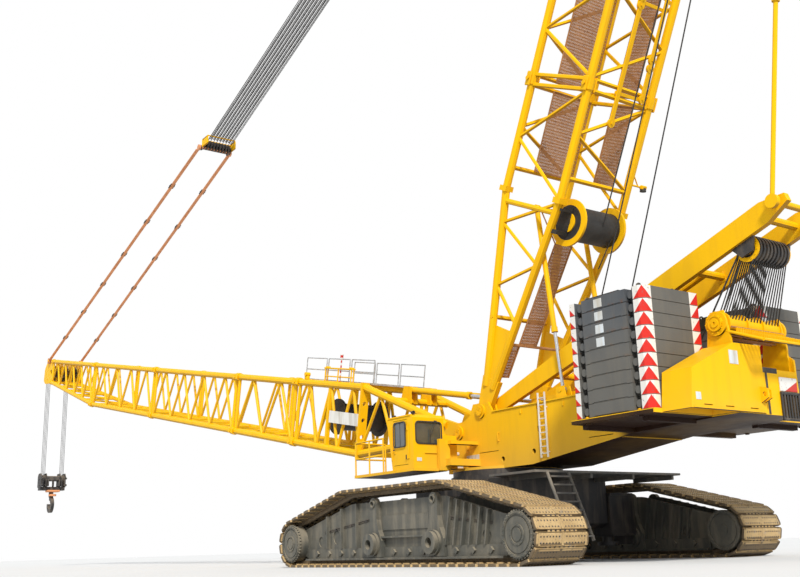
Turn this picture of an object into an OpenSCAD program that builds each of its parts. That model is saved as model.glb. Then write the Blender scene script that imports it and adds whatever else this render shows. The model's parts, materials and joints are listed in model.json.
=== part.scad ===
// Lattice boom crawler crane with a derrick mast, at half size.
// Lengths are in millimetres. +X runs along the boom, +Y is the machine's left, +Z is up, the ground is z = 0.
// Places are measured from the slewing axis; in_frame() then centres the whole length on the origin.

/* [Crawlers] */

// Distance between the two crawlers' centre lines
gauge = 4500; // [4300:50:5000]
// Width of one shoe plate
shoe_w = 1000; // [900:10:1200]
// Distance from the middle to each end wheel's axis
tumbler_x = 3250; // [3000:10:3600]
// Outer radius of the track round an end wheel
track_r = 435; // [420:5:480]
// Height of the track's flat top
track_top = 1325; // [1280:5:1345]
// Half length of the flat top
track_flat = 1300; // [1200:10:1500]
// Radius of the bend from flat top to ramp
track_bend = 900; // [600:10:1100]
// Number of shoes in one track
shoe_n = 68; // [60:1:80]
// Thickness of a shoe plate
shoe_t = 52; // [40:1:60]
// Width of the links under the shoes
link_w = 430; // [380:10:500]
// Thickness of the links
link_t = 70; // [50:1:90]
// Radius of the hubs over the end wheels
hub_r = 325; // [260:5:340]
// Number of bottom rollers in one crawler
roller_n = 13; // [9:2:15]

/* [Turntable] */

// Outer face of the side plates, from the middle
side_y = 700; // [690:5:760]
// Thickness of the side plates
side_t = 40; // [20:1:50]
// Underside of the turntable
table_z = 1600; // [1580:5:1640]
// Top of the side plates
table_top = 2620; // [2560:5:2660]
// Radius of the slewing ring
ring_r = 1000; // [900:10:1060]

/* [Ballast] */

// Front end of the stacks
stack_x0 = -3665; // [-3800:5:-3500]
// Rear end of the stacks
stack_x1 = -5150; // [-5175:5:-4900]
// Clearance between a stack and the side plate
stack_clear = 25; // [10:5:80]
// Outer face of the stacks
stack_y1 = 1880; // [1780:5:2000]
// Underside of the lowest slab
stack_z = 2010; // [1990:5:2060]
// Height of one slab with its seam
slab_h = 190; // [160:1:220]
// Number of slabs in one stack
slab_n = 9; // [6:1:11]
// Height of the key on top of each slab
key_h = 14; // [8:1:24]

/* [Cab] */

// Width of the cab
cab_w = 680; // [600:10:700]
// Outer face of the cab
cab_y1 = 2000; // [1950:10:2100]
// Length of the cab at its roof
cab_l = 800; // [760:10:900]
// Height of the cab
cab_h = 945; // [900:5:1000]

/* [Boom] */

// Boom pivot, along the machine
boom_px = 500; // [460:10:560]
// Boom pivot height
boom_pz = 2325; // [2300:5:2345]
// Boom angle above level
boom_deg = 10.8; // [9:0.1:12]
// Half width over the boom's chord centres
boom_w = 790; // [770:5:830]
// Half depth over the boom's chord centres
boom_h = 700; // [670:5:730]
// Radius of the boom's chords
boom_rc = 80; // [65:1:90]
// Radius of the boom's lacing
boom_rl = 35; // [25:1:42]
// Length from the pivot to the first joint
boom_foot_l = 6100; // [5800:10:6600]
// Length of the short section
boom_short_l = 3250; // [2800:10:3600]
// Length of each long section
boom_long_l = 5900; // [5400:10:6200]
// Length of the head section, to the sheave axis
boom_head_l = 7150; // [6600:10:7600]

/* [Derrick mast] */

// Mast pivot, along the machine
mast_px = -150; // [-190:5:-130]
// Mast pivot height
mast_pz = 2650; // [2630:5:2665]
// Backward lean of the mast
mast_deg = 26; // [24:0.5:28]
// Half width over the mast's chord centres
mast_w = 740; // [720:5:780]
// Half depth over the mast's chord centres
mast_h = 740; // [720:5:780]
// Radius of the mast's chords
mast_rc = 75; // [60:1:82]
// Radius of the mast's lacing
mast_rl = 34; // [25:1:40]
// Length of the mast's foot section
mast_foot_l = 6000; // [5700:10:6600]
// Length of each middle section
mast_mid_l = 5000; // [4600:10:5400]
// Length of the mast's head section
mast_head_l = 3000; // [2800:10:3400]

/* [Mast stay frame] */

// Length of the stay frame, pivot to tip
stay_l = 6650; // [6500:10:6800]
// Rise of the stay frame towards the rear
stay_deg = 18.4; // [17.5:0.1:19.5]

/* [Hook] */

// Height of the boom head's sheaves above the hook block
hook_drop = 4000; // [3000:10:4200]
// Radius of the hook
hook_r = 320; // [280:5:340]

/* [Hidden] */

// Colours of the paints and bare metals
yellow = [0.95, 0.7, 0.05];
olive = [0.35, 0.36, 0.33];
dark = [0.2, 0.2, 0.2];
dusty = [0.55, 0.48, 0.38];
slab_grey = [0.35, 0.36, 0.37];
deck_grey = [0.4, 0.4, 0.4];
off_white = [0.9, 0.9, 0.85];
glass_tint = [0.4, 0.5, 0.55];
black = [0.1, 0.1, 0.1];
bare_steel = [0.6, 0.6, 0.6];
primer = [0.7, 0.4, 0.1];

// Clearance between pieces that rest on each other, and of a pin in its bore
gap = 0.4;
pin_gap = 0.5;
// How far a piece reaches into another of its own node, so that they join
bite = 1;

cy = gauge / 2;
boom_l = boom_foot_l + boom_short_l + 2 * boom_long_l + boom_head_l;
mast_l = mast_foot_l + 2 * mast_mid_l + mast_head_l;
head_x = boom_px + boom_l * cos(boom_deg);
head_z = boom_pz + boom_l * sin(boom_deg);
// The hoist lines leave the sheaves' front edge
sheave_r = 230;
hook_dx = sheave_r + 9.4;
// Pin of the stay bars and of the tackle on the mast head, along and off the mast's axis
mast_pin_s = mast_l - 100;
mast_pin_z = 430;
mast_pin_r = 120;
mast_back = [mast_px - mast_pin_s * sin(mast_deg) - mast_pin_z * cos(mast_deg),
             mast_pz + mast_pin_s * cos(mast_deg) - mast_pin_z * sin(mast_deg)];
mast_front = [mast_px - mast_pin_s * sin(mast_deg) + mast_pin_z * cos(mast_deg),
              mast_pz + mast_pin_s * cos(mast_deg) + mast_pin_z * sin(mast_deg)];
// The frame's origin is on the ground under the middle of the overall length.
x_shift = -(head_x + hook_dx + hook_r + mast_back[0] - mast_pin_r) / 2;
module in_frame() {
  translate([x_shift, 0, 0]) children();
}

// A block by its two corners.
module blk(x0, x1, y0, y1, z0, z1) {
  translate([min(x0, x1), min(y0, y1), min(z0, z1)]) cube([abs(x1 - x0), abs(y1 - y0), abs(z1 - z0)]);
}

// A round bar between two points.
module bar(a, b, r, n = 8) {
  d = b - a;
  l = norm(d);
  translate(a) rotate([0, acos(d[2] / l), atan2(d[1], d[0])]) cylinder(h = l, r = r, $fn = n);
}

// A point of the XZ plane at y.
function v3(p, y) = [p[0], y, p[1]];

// The same thing on both sides.
module both() {
  children();
  mirror([0, 1, 0]) children();
}

// A plate in the XZ plane, from y0 to y1.
module plate(pts, y0, y1) {
  translate([0, max(y0, y1), 0]) rotate([90, 0, 0]) linear_extrude(height = abs(y1 - y0)) polygon(pts);
}

// A plate in the YZ plane, from x0 back to x0 - t.
module cross_plate(pts, x0, t) {
  translate([x0, 0, 0]) rotate([90, 0, -90]) linear_extrude(height = t) polygon(pts);
}

// A round disc whose axis runs along Y, from y0 to y1.
module disc(x, z, r, y0, y1, n = 40) {
  translate([x, max(y0, y1), z]) rotate([90, 0, 0]) cylinder(h = abs(y1 - y0), r = r, $fn = n);
}

// Axes of the boom, the mast and the stay frame: along x, with +z to the mast's front and the frame's underside.
module at_boom() {
  translate([boom_px, 0, boom_pz]) rotate([0, -boom_deg, 0]) children();
}
module at_mast() {
  translate([mast_px, 0, mast_pz]) rotate([0, -90 - mast_deg, 0]) mirror([0, 0, 1]) children();
}
module at_stay() {
  translate([mast_px, 0, mast_pz]) rotate([0, -180 + stay_deg, 0]) children();
}

// Track path: circles joined by tangents, walked from the bottom's front end.
bend_z = track_top - track_bend;
ramp_d = norm([tumbler_x - track_flat, track_r - bend_z]);
ramp_tilt = atan2(bend_z - track_r, tumbler_x - track_flat);
ramp_a = 90 - ramp_tilt - asin((track_bend - track_r) / ramp_d);
ramp_l = sqrt(pow(ramp_d, 2) - pow(track_bend - track_r, 2));
arc_a = track_r * (ramp_a + 90) * PI / 180;
arc_b = track_bend * (90 - ramp_a) * PI / 180;
run = [arc_a, ramp_l, arc_b, 2 * track_flat, arc_b, ramp_l, arc_a, 2 * tumbler_x];
function sum_to(v, n) = n <= 0 ? 0 : v[n - 1] + sum_to(v, n - 1);
loop_l = sum_to(run, len(run));
pitch = loop_l / shoe_n;
function polar(c, r, a) = [c[0] + r * cos(a), c[1] + r * sin(a)];
function mix(p, q, t) = p + (q - p) * t;
wheel_front = [tumbler_x, track_r];
wheel_back = [-tumbler_x, track_r];
bend_front = [track_flat, bend_z];
bend_back = [-track_flat, bend_z];
// Which stretch of the path holds the length s.
function stretch(s, k = 0) = k >= len(run) - 1 || s < sum_to(run, k + 1) ? k : stretch(s, k + 1);
// A point at length s along the outer face, moved inwards by d.
function on_track(s0, d) =
  let (s = s0 >= loop_l ? s0 - loop_l : s0, k = stretch(s), t = (s - sum_to(run, k)) / run[k])
  k == 0 ? polar(wheel_front, track_r - d, -90 + t * (ramp_a + 90)) :
  k == 1 ? mix(polar(wheel_front, track_r - d, ramp_a), polar(bend_front, track_bend - d, ramp_a), t) :
  k == 2 ? polar(bend_front, track_bend - d, ramp_a + t * (90 - ramp_a)) :
  k == 3 ? mix([track_flat, track_top - d], [-track_flat, track_top - d], t) :
  k == 4 ? polar(bend_back, track_bend - d, 90 + t * (90 - ramp_a)) :
  k == 5 ? mix(polar(bend_back, track_bend - d, 180 - ramp_a), polar(wheel_back, track_r - d, 180 - ramp_a), t) :
  k == 6 ? polar(wheel_back, track_r - d, 180 - ramp_a + t * (ramp_a + 90)) :
           mix([-tumbler_x, d], [tumbler_x, d], t);
// The closed outline at depth d, with m steps round each end wheel.
function ring_pts(d, m) = concat(
  [for (i = [0 : m]) polar(wheel_front, track_r - d, -90 + i / m * (ramp_a + 90))],
  [for (i = [0 : 2]) polar(bend_front, track_bend - d, ramp_a + i / 2 * (90 - ramp_a))],
  [for (i = [0 : 2]) polar(bend_back, track_bend - d, 90 + i / 2 * (90 - ramp_a))],
  [for (i = [0 : m]) polar(wheel_back, track_r - d, 180 - ramp_a + i / m * (ramp_a + 90))]);

// One track: plates whose edges stand proud, over a narrower band of links.
shoe_edge = 26;
ring_steps = 12;
module track(side) {
  yc = side * cy;
  teeth = [for (i = [0 : shoe_n - 1])
    each [on_track(i * pitch + 5, shoe_edge), on_track(i * pitch + 9, 0),
          on_track((i + 1) * pitch - 13, 0), on_track((i + 1) * pitch - 5, shoe_edge)]];
  color(dusty) in_frame() difference() {
    union() {
      plate(teeth, yc - shoe_w / 2, yc + shoe_w / 2);
      plate(ring_pts(shoe_t - 4, ring_steps), yc - link_w / 2, yc + link_w / 2);
    }
    plate(ring_pts(shoe_t, ring_steps), yc + link_w / 2, yc + shoe_w);
    plate(ring_pts(shoe_t, ring_steps), yc - link_w / 2, yc - shoe_w);
    plate(ring_pts(shoe_t + link_t, ring_steps), yc - shoe_w, yc + shoe_w);
  }
}

// Side frame of one crawler: two webs on a core, ribs, a bottom rail and two forked brackets.
web_in = link_w / 2 + 15;
web_out = web_in + 40;
bracket_out = web_out + 90;
boss_out = shoe_w / 2 - 20;
boss_x = [560, -1160];
boss_z = 370;
boss_r = 172;
boss_bore = 80;
eye_z = 1040;
wheel_r = (track_r - shoe_t - link_t) * cos((ramp_a + 90) / ring_steps / 2) - gap;
roll_r = 70;
roll_z = shoe_t + link_t + gap + roll_r;
roll_top = roll_z + roll_r + gap;
roll_span = 5000;
roll_pitch = roll_span / (roller_n - 1);
// Depth of the frame's outline inside the track, and half length of its core
frame_d = shoe_t + link_t + 123;
core_x = tumbler_x - wheel_r - 190;
rail_z = 120;
rail_top = 320;
rail_x = tumbler_x - 420;
axle_r = 100;
bracket_pts = [[-240, rail_z + 40], [240, rail_z + 40], [240, 430], [150, 600], [104, 780], [104, eye_z],
               [-104, eye_z], [-104, 780], [-150, 600], [-240, 430]];

module frame_outline(y0, y1) {
  plate(ring_pts(frame_d, 6), y0, y1);
  plate([[rail_x, rail_z], [tumbler_x, 300], [tumbler_x, 500], [-tumbler_x, 500], [-tumbler_x, 300],
         [-rail_x, rail_z]], y0, y1);
}

module crawler_frame(side) {
  color(olive) in_frame() translate([0, side * cy, 0]) {
    plate([[core_x, roll_top], [core_x, track_r + 125], [track_flat - 50, track_top - 365],
           [50 - track_flat, track_top - 365], [-core_x, track_r + 125], [-core_x, roll_top]], -web_in, web_in);
    for (s = [-1, 1]) {
      difference() {
        frame_outline(s * web_in, s * web_out);
        for (x = [-tumbler_x, tumbler_x]) disc(x, track_r, axle_r + gap, s * (web_in - 10), s * (web_out + 10), 32);
        for (p = [[1900, 520, 120], [2450, 450, 90], [-2350, 440, 100]])
          disc(p[0], p[1], p[2], s * (web_out - 20), s * (web_out + 10), 24);
      }
      // ribs: leaning behind the rear bracket, upright in front of the forward one
      intersection() {
        union() {
          for (i = [0 : 5]) let (x = -1520 - i * 190)
            plate([[x + 90, rail_top], [x + 124, rail_top], [x - 60, 1200], [x - 94, 1200]],
                  s * (web_out - bite), s * (web_out + 70));
          for (x = [1150, 1650, 2150]) blk(x - 17, x + 17, s * (web_out - bite), s * (web_out + 70), rail_top, 1200);
        }
        frame_outline(s * (web_out - 2 * bite), s * (web_out + 80));
      }
      // bottom rail with its flange and the diamond plates of the roller axles
      blk(-rail_x, rail_x, s * (web_out - bite), s * (web_out + 36), rail_z, rail_top);
      blk(-rail_x, rail_x, s * (web_out - bite), s * (web_out + 120), rail_z, rail_z + 32);
      for (i = [0 : roller_n - 1]) disc(i * roll_pitch - roll_span / 2, 236, 52, s * (web_out + 30), s * (web_out + 72), 4);
      // blank plate and shelf between the brackets
      blk(boss_x[1] + 190, boss_x[0] - 190, s * (web_out - bite), s * (web_out + 24), 600, 840);
      blk(boss_x[1] + 150, boss_x[0] - 150, s * (web_out - bite), s * (web_out + 80), 470, 500);
      for (x = boss_x) difference() {
        union() {
          translate([x, 0, 0]) plate(bracket_pts, s * (web_out - bite), s * bracket_out);
          disc(x, eye_z, 104, s * (web_out - bite), s * bracket_out, 32);
          disc(x, eye_z, 70, s * bracket_out, s * (bracket_out + 25), 24);
          disc(x, boss_z, boss_r, s * (bracket_out - bite), s * boss_out, 40);
          disc(x, boss_z, boss_r + 22, s * (bracket_out - bite), s * (bracket_out + 50), 40);
        }
        disc(x, boss_z, boss_bore, s * (bracket_out - 40), s * (boss_out + 10), 24);
        disc(x, eye_z, 45, s * (web_out + 20), s * (bracket_out + 50), 20);
      }
    }
  }
}

// End wheels with their axles; a bolted hub covers each one on both sides.
hub_teeth = 24;
module tumblers() {
  color(olive) in_frame() for (side = [-1, 1], x = [-tumbler_x, tumbler_x]) translate([0, side * cy, 0]) {
    disc(x, track_r, wheel_r, 10 - link_w / 2, link_w / 2 - 10, 48);
    disc(x, track_r, axle_r, -web_out - 10, web_out + 10, 32);
    for (s = [-1, 1]) {
      difference() {
        union() {
          disc(x, track_r, hub_r, s * (web_out + gap), s * boss_out, 48);
          for (i = [0 : hub_teeth - 1]) let (c = polar([x, track_r], hub_r - 22, i * 360 / hub_teeth))
            disc(c[0], c[1], 15, s * (boss_out - bite), s * (boss_out + 12), 6);
        }
        disc(x, track_r, hub_r - 48, s * (boss_out - 16), s * (boss_out + 20), 48);
      }
      disc(x, track_r, hub_r - 75, s * (boss_out - 30), s * (boss_out - 4), 48);
      disc(x, track_r, 90, s * (boss_out - 10), s * (boss_out + 8), 32);
    }
  }
}

module rollers() {
  color(dark) in_frame() for (side = [-1, 1], i = [0 : roller_n - 1])
    disc(i * roll_pitch - roll_span / 2, roll_z, roll_r, side * cy - link_w / 2 + 20, side * cy + link_w / 2 - 20, 24);
}

// Carbody: a box under the slewing ring, four legs pinned to the crawlers, four support rams.
carbody_x = 1300;
carbody_y = 1150;
carbody_z = 560;
carbody_top = table_z - 200;
ring_seat = table_z - 170;
ring_split = table_z - 100;
leg_z = [420, 1120];
ram_x = 1120;
ram_y = 1300;
module carbody() {
  color(dark) in_frame() {
    difference() {
      union() {
        plate([[-carbody_x, carbody_z + 60], [120 - carbody_x, carbody_z], [carbody_x - 120, carbody_z],
               [carbody_x, carbody_z + 60], [carbody_x, carbody_top], [-carbody_x, carbody_top]], -carbody_y, carbody_y);
        translate([0, 0, carbody_top - 40]) cylinder(h = ring_seat - carbody_top + 40, r = ring_r + 60, $fn = 48);
      }
      translate([0, 0, carbody_z - 60]) cylinder(h = 1000, r = 620, $fn = 36);
    }
    for (s = [-1, 1], x = boss_x) {
      leg_end = cy - boss_out - gap;
      blk(x - 210, x + 210, s * (carbody_y - 10), s * leg_end, leg_z[0], leg_z[1]);
      for (z = leg_z) blk(x - 250, x + 250, s * (carbody_y - 10), s * (leg_end - 60), z - 20, z + 20);
      disc(x, boss_z, boss_bore - pin_gap, s * (leg_end - 30), s * (leg_end + 60), 24);
      blk(x - 120, x + 120, s * (leg_end - 200), s * leg_end, boss_z - 120, leg_z[0] + 10);
    }
    for (s = [-1, 1], x = [-ram_x, ram_x]) {
      translate([x, s * ram_y, 300]) cylinder(h = 700, r = 100, $fn = 24);
      translate([x, s * ram_y, 240]) cylinder(h = 61, r = 190, $fn = 24);
      blk(x - 60, x + 60, s * (carbody_y - 10), s * (ram_y - 70), carbody_z, 980);
    }
  }
}

module slew_ring() {
  color(dark) in_frame() difference() {
    union() {
      translate([0, 0, ring_seat + gap]) cylinder(h = ring_split - ring_seat, r = ring_r + 40, $fn = 64);
      translate([0, 0, ring_split]) cylinder(h = table_z - ring_split - 5 - gap, r = ring_r, $fn = 64);
    }
    translate([0, 0, ring_seat - 30]) cylinder(h = 300, r = 700, $fn = 48);
  }
}

// Decks beside the slewing ring on cross bars, and the steps down from the rear one.
deck_t = 36;
deck_z = carbody_top + gap;
step_n = 8;
module carbody_decks() {
  rear_x = carbody_x + 950;
  front_x = carbody_x + 400;
  foot_x = rear_x + 450;
  foot_z = 330;
  color(deck_grey) in_frame() {
    blk(-rear_x, 170 - carbody_x, -2050, 1400, deck_z, deck_z + deck_t);
    blk(carbody_x - 170, front_x, -1350, 1350, deck_z, deck_z + deck_t);
    for (y = [-1900, -900, 100, 1100]) blk(50 - rear_x, -carbody_x - gap, y - 25, y + 25, deck_z - 75, deck_z + bite);
    for (y = [-1100, 1100]) blk(carbody_x + gap, front_x - 50, y - 25, y + 25, deck_z - 75, deck_z + bite);
    for (y = [670, 1130]) bar([10 - rear_x, y, deck_z], [-foot_x, y, foot_z], 28, 8);
    for (i = [0 : step_n - 1]) let (c = mix([10 - rear_x, deck_z], [-foot_x, foot_z], (i + 0.5) / step_n))
      blk(c[0] - 50, c[0] + 50, 670, 1130, c[1] - 12, c[1] + 12);
  }
}

// Turntable: two deep side plates with raised lugs, inner lugs, a floor, a deck and cross walls.
tail_x = -5650;
floor_t = 40;
nose_x = 850;
slope_x = [-1450, -3700];
slope_z = 1880;
side_pts = [[nose_x, table_z], [nose_x, boom_pz - 75], [boom_px + 160, boom_pz + 175], [350, boom_pz + 195],
            [170, table_top - 20], [60, mast_pz + 150], [-360, mast_pz + 150], [-470, table_top],
            [-3600, table_top], [-4950, table_top - 10], [-5180, 2860], [tail_x + 90, 2860], [tail_x, 2780],
            [tail_x, 1950], [slope_x[1], slope_z], [slope_x[0], table_z]];
lug_pts = [[nose_x, table_z + 40], [nose_x, boom_pz - 75], [boom_px + 160, boom_pz + 175], [350, boom_pz + 195],
           [170, table_top - 20], [60, mast_pz + 150], [-360, mast_pz + 150], [-470, table_top - 220],
           [-470, table_z + 40]];
boom_stop_pin = [-1220, 2700];
boom_stop_y = 250;
mast_stop_pin = [-2150, 2760];
mast_stop_y = 560;
foot_y = side_y - 100;
pin_r = 60;
deck_top = 2430;

module turntable() {
  wall_y = side_y - side_t + bite;
  color(yellow) in_frame() {
    difference() {
      union() {
        both() {
          plate(side_pts, side_y - side_t, side_y);
          plate(lug_pts, side_y - 200, side_y - 160);
          plate([[60, mast_pz - 250], [60, mast_pz + 150], [-360, mast_pz + 150], [-470, mast_pz - 250]],
                side_y - 360, side_y - 320);
          for (p = [[boom_px, boom_pz], [mast_px, mast_pz]]) disc(p[0], p[1], 130, side_y - bite, side_y + 30, 32);
          // lugs of the boom stops and of the mast stops
          for (s = [-1, 1]) translate([boom_stop_pin[0], 0, boom_stop_pin[1]])
            plate([[120, deck_top - 10 - boom_stop_pin[1]], [100, 60], [-100, 60],
                   [-180, deck_top - 10 - boom_stop_pin[1]]], boom_stop_y + s * 62, boom_stop_y + s * 90);
          for (s = [-1, 1]) translate([mast_stop_pin[0], 0, mast_stop_pin[1]])
            plate([[100, deck_top - 10 - mast_stop_pin[1]], [90, 60], [-90, 60],
                   [-180, deck_top - 10 - mast_stop_pin[1]]], mast_stop_y + s * 56, mast_stop_y + s * 80);
          // stiffening flange along the side plate's upper edge
          blk(-3580, -480, side_y - bite, side_y + 22, table_top - 24, table_top);
        }
        plate([[nose_x, table_z], [nose_x, table_z + floor_t], [slope_x[0] + 10, table_z + floor_t],
               [slope_x[1], slope_z + floor_t], [tail_x, 1990], [tail_x, 1950], [slope_x[1], slope_z],
               [slope_x[0], table_z]], 1 - side_y, side_y - 1);
        blk(tail_x + 10, -500, -wall_y, wall_y, deck_top - 30, deck_top);
        blk(nose_x - 50, nose_x, -wall_y, wall_y, table_z + 20, 1980);
        blk(-560, -500, -wall_y, wall_y, table_z + 20, deck_top - 10);
        blk(-3500, -3450, -wall_y, wall_y, slope_z - 40, deck_top - 10);
        blk(tail_x, tail_x + 50, -wall_y, wall_y, 1960, 2600);
        translate([0, 0, table_z - 5]) cylinder(h = 45, r = ring_r, $fn = 64);
      }
      translate([0, 0, table_z - 50]) cylinder(h = 200, r = 620, $fn = 36);
      for (h = [[-700, 1750], [-1500, 1810]]) disc(h[0], h[1], 45, -side_y - 10, side_y + 10, 20);
      // hand holds beside the ladder and the long slots of the side plates
      for (z = [2130, 2500]) blk(-1690, -1620, -side_y - 10, side_y + 10, z, z + 90);
      for (x = [-330, -3050]) blk(x - 260, x + 260, -side_y - 10, side_y + 10, 1900, 1912);
    }
    // pins of the boom, the mast with the stay frame, and heads of the stops' pins
    both() {
      disc(boom_px, boom_pz, pin_r, side_y - 170, side_y + 45, 24);
      disc(mast_px, mast_pz, pin_r, side_y - 330, side_y + 45, 24);
      for (s = [-1, 1]) {
        disc(boom_stop_pin[0], boom_stop_pin[1], 45, boom_stop_y + s * 89, boom_stop_y + s * 100, 20);
        disc(mast_stop_pin[0], mast_stop_pin[1], 40, mast_stop_y + s * 79, mast_stop_y + s * 90, 20);
      }
    }
  }
}

// The engine stands on the sloping floor as one heavy block.
engine_x = [-1500, -3300];
function floor_at(x) =
  table_z + floor_t + (slope_x[0] + 10 - x) / (slope_x[0] + 10 - slope_x[1]) * (slope_z - table_z) + gap;
module engine_block() {
  color(dark) in_frame() plate([[engine_x[0], 2340], [engine_x[1], 2340], [engine_x[1], floor_at(engine_x[1])],
                                [engine_x[0], floor_at(engine_x[0])]], -420, 420);
}

// Hood over the engine, with louvres in its sides and an exhaust stack.
hood_x = [-1560, -3400];
hood_top = 2740;
module engine_hood() {
  z0 = deck_top + gap;
  color(yellow) in_frame() {
    difference() {
      plate([[hood_x[0], z0], [hood_x[0], hood_top - 90], [hood_x[0] - 90, hood_top], [hood_x[1] + 90, hood_top],
             [hood_x[1], hood_top - 90], [hood_x[1], z0]], -440, 440);
      plate([[hood_x[0] - 20, z0 - 10], [hood_x[0] - 20, hood_top - 110], [hood_x[1] + 20, hood_top - 110],
             [hood_x[1] + 20, z0 - 10]], -420, 420);
      for (x = [hood_x[0] - 320, hood_x[0] - 920], i = [0 : 6])
        blk(x - 180, x + 180, -450, 450, z0 + 50 + i * 28, z0 + 62 + i * 28);
    }
    translate([hood_x[1] + 260, 250, hood_top - 10]) cylinder(h = 130, r = 55, $fn = 24);
  }
}

// Trays under the stacks on arms, with round feet in the slabs' recesses, and the tail box on the left.
tray_t = 60;
groove_in = 250;
groove_x = [stack_x0 - groove_in, stack_x1 + groove_in];
stack_y0 = side_y + stack_clear;
module ballast_bracket() {
  side_seat = side_y + gap;
  box_front = stack_x1 - 30;
  box_rear = tail_x - 30;
  box_out = 1745;
  box_t = 40;
  color(yellow) in_frame() {
    both() {
      blk(box_front - 10, stack_x0 + 30, side_seat, stack_y1 + 20, stack_z - tray_t, stack_z - gap);
      for (x = [stack_x0 - 95, stack_x1 + 250])
        blk(x, x + 100, side_seat, stack_y1 - 180, stack_z - 125, stack_z - tray_t + bite);
      for (x = groove_x) {
        translate([x + 20, stack_y1 - 66, stack_z - tray_t - 20]) cylinder(h = tray_t + 50, r = 34, $fn = 20);
        translate([x + 20, stack_y1 - 66, stack_z + 12]) cylinder(h = 12, r = 42, $fn = 20);
      }
    }
    // tail box behind the left stack: open underneath, its rear plate runs on behind the turntable
    difference() {
      union() {
        cross_plate([[-side_seat, 1960], [-box_out, 1960], [-1670, 2495], [-760, 2905], [-side_seat, 2905]],
                    box_front, box_front - box_rear);
        cross_plate([[-145, 1960], [-800, 1960], [-800, 2700], [-735, 2905], [-145, 2915]],
                    tail_x - gap, tail_x - gap - box_rear);
      }
      cross_plate([[-side_seat - box_t, 1900], [-box_out + box_t, 1900], [-1670 + box_t, 2470],
                   [-760 - box_t, 2850], [-side_seat - box_t, 2850]], box_front - box_t, box_front - box_rear - 2 * box_t);
      for (y = [420, 950, 1400]) blk(box_rear - 10, box_rear + 60, y - 90, y + 90, 2005, 2020);
    }
    // lip under the rear plate, and the lugs with an eye on its inner edge
    blk(box_rear - 25, box_rear + 10, 200, box_out - 40, 1960, 1976);
    for (y = [150, 230]) difference() {
      plate([[box_rear + bite, 2100], [box_rear - 120, 2160], [box_rear - 120, 2270], [box_rear + bite, 2330]], y, y + 26);
      disc(box_rear - 65, 2215, 32, y - 5, y + 31, 24);
    }
  }
}

// One slab: a keyed profile with a shadow seam at its foot.
seam_h = 8;
seam_in = 14;
function slab_profile(z0, z1, inset) =
  let (a = stack_x1 + inset, b = stack_x0 - inset, c = (a + b) / 2, k = 310, s = 30)
  [[a, z0], [c - k - s, z0], [c - k, z0 + key_h], [c + k, z0 + key_h], [c + k + s, z0], [b, z0],
   [b, z1], [c + k + s, z1], [c + k, z1 + key_h], [c - k, z1 + key_h], [c - k - s, z1], [a, z1]];

module counterweight(side) {
  corner = 75;
  top = stack_z + slab_n * slab_h + key_h;
  color(slab_grey) in_frame() mirror([0, side < 0 ? 1 : 0, 0]) {
    difference() {
      for (i = [0 : slab_n - 1]) let (z = stack_z + i * slab_h) {
        plate(slab_profile(z + seam_h, z + slab_h - gap, 0), stack_y0, stack_y1);
        plate(slab_profile(z, z + seam_h + bite, seam_in), stack_y0 + seam_in, stack_y1 - seam_in);
      }
      for (x = groove_x) blk(x - 70, x + 70, stack_y1 - 130, stack_y1 + 10, stack_z - 10, top + 10);
      for (x = [stack_x0, stack_x1]) translate([x, stack_y1, stack_z - 10]) rotate([0, 0, 45])
        translate([-corner, -corner, 0] / sqrt(2)) cube([corner * sqrt(2), corner * sqrt(2), top - stack_z + 20]);
    }
    for (x = groove_x, i = [0 : slab_n - 1]) let (z = stack_z + (i + 0.5) * slab_h) {
      disc(x, z, 40, stack_y1 - 131, stack_y1 - 40, 16);
      disc(x, z, 54, stack_y1 - 62, stack_y1 - 30, 16);
    }
  }
}

// Rear luffing winch between two cheeks on the deck, and the rope comb behind it.
winch_x = -5400;
winch_z = 3230;
comb = [[winch_x - 150, winch_z - 135], [winch_x - 700, winch_z - 345]];
comb_n = 15;
module winch_frame() {
  cheek = side_y - side_t - gap;
  foot_z = deck_top + gap;
  edge_y = cheek - 20;
  color(yellow) in_frame() {
    both() {
      plate([[tail_x + 60, foot_z], [tail_x + 60, 3000], [winch_x - 160, winch_z - 60], [winch_x - 110, winch_z + 180],
             [winch_x + 110, winch_z + 180], [winch_x + 180, winch_z - 60], [-5120, foot_z]], cheek - 40, cheek);
      disc(winch_x, winch_z, 175, cheek - bite, cheek + 40, 40);
      disc(winch_x, winch_z, 120, cheek + 39, cheek + 62, 32);
      bar(v3(comb[1], edge_y), v3(mix(comb[0], comb[1], -0.3), edge_y), 24, 8);
    }
    disc(winch_x, winch_z, 150, -cheek + 70, cheek - 70, 40);
    for (y = [70 - cheek, -180, 180, cheek - 70]) disc(winch_x, winch_z, 178, y - 12, y + 12, 40);
    disc(winch_x, winch_z, 60, 30 - cheek, cheek - 30, 24);
    for (i = [0 : comb_n - 1]) let (y = (i - (comb_n - 1) / 2) * 80) bar(v3(comb[0], y), v3(comb[1], y), 13, 6);
    for (c = comb) bar(v3(c, -edge_y), v3(c, edge_y), 24, 8);
  }
}

// Ladder on the left side plate, standing off it on four brackets.
ladder_x = [-1720, -1880];
rung_n = 9;
module side_ladder() {
  z0 = table_z + 80;
  z1 = table_top + 140;
  color(off_white) in_frame() {
    for (x = ladder_x) {
      blk(x - 10, x + 10, side_y + 30, side_y + 55, z0, z1);
      for (z = [z0 + 80, table_top - 120]) blk(x - 8, x + 8, side_y + gap, side_y + 32, z, z + 20);
    }
    for (i = [0 : rung_n - 1]) let (z = z0 + 60 + i * 115)
      blk(ladder_x[1] + 5, ladder_x[0] - 5, side_y + 35, side_y + 50, z, z + 15);
  }
}

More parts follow.
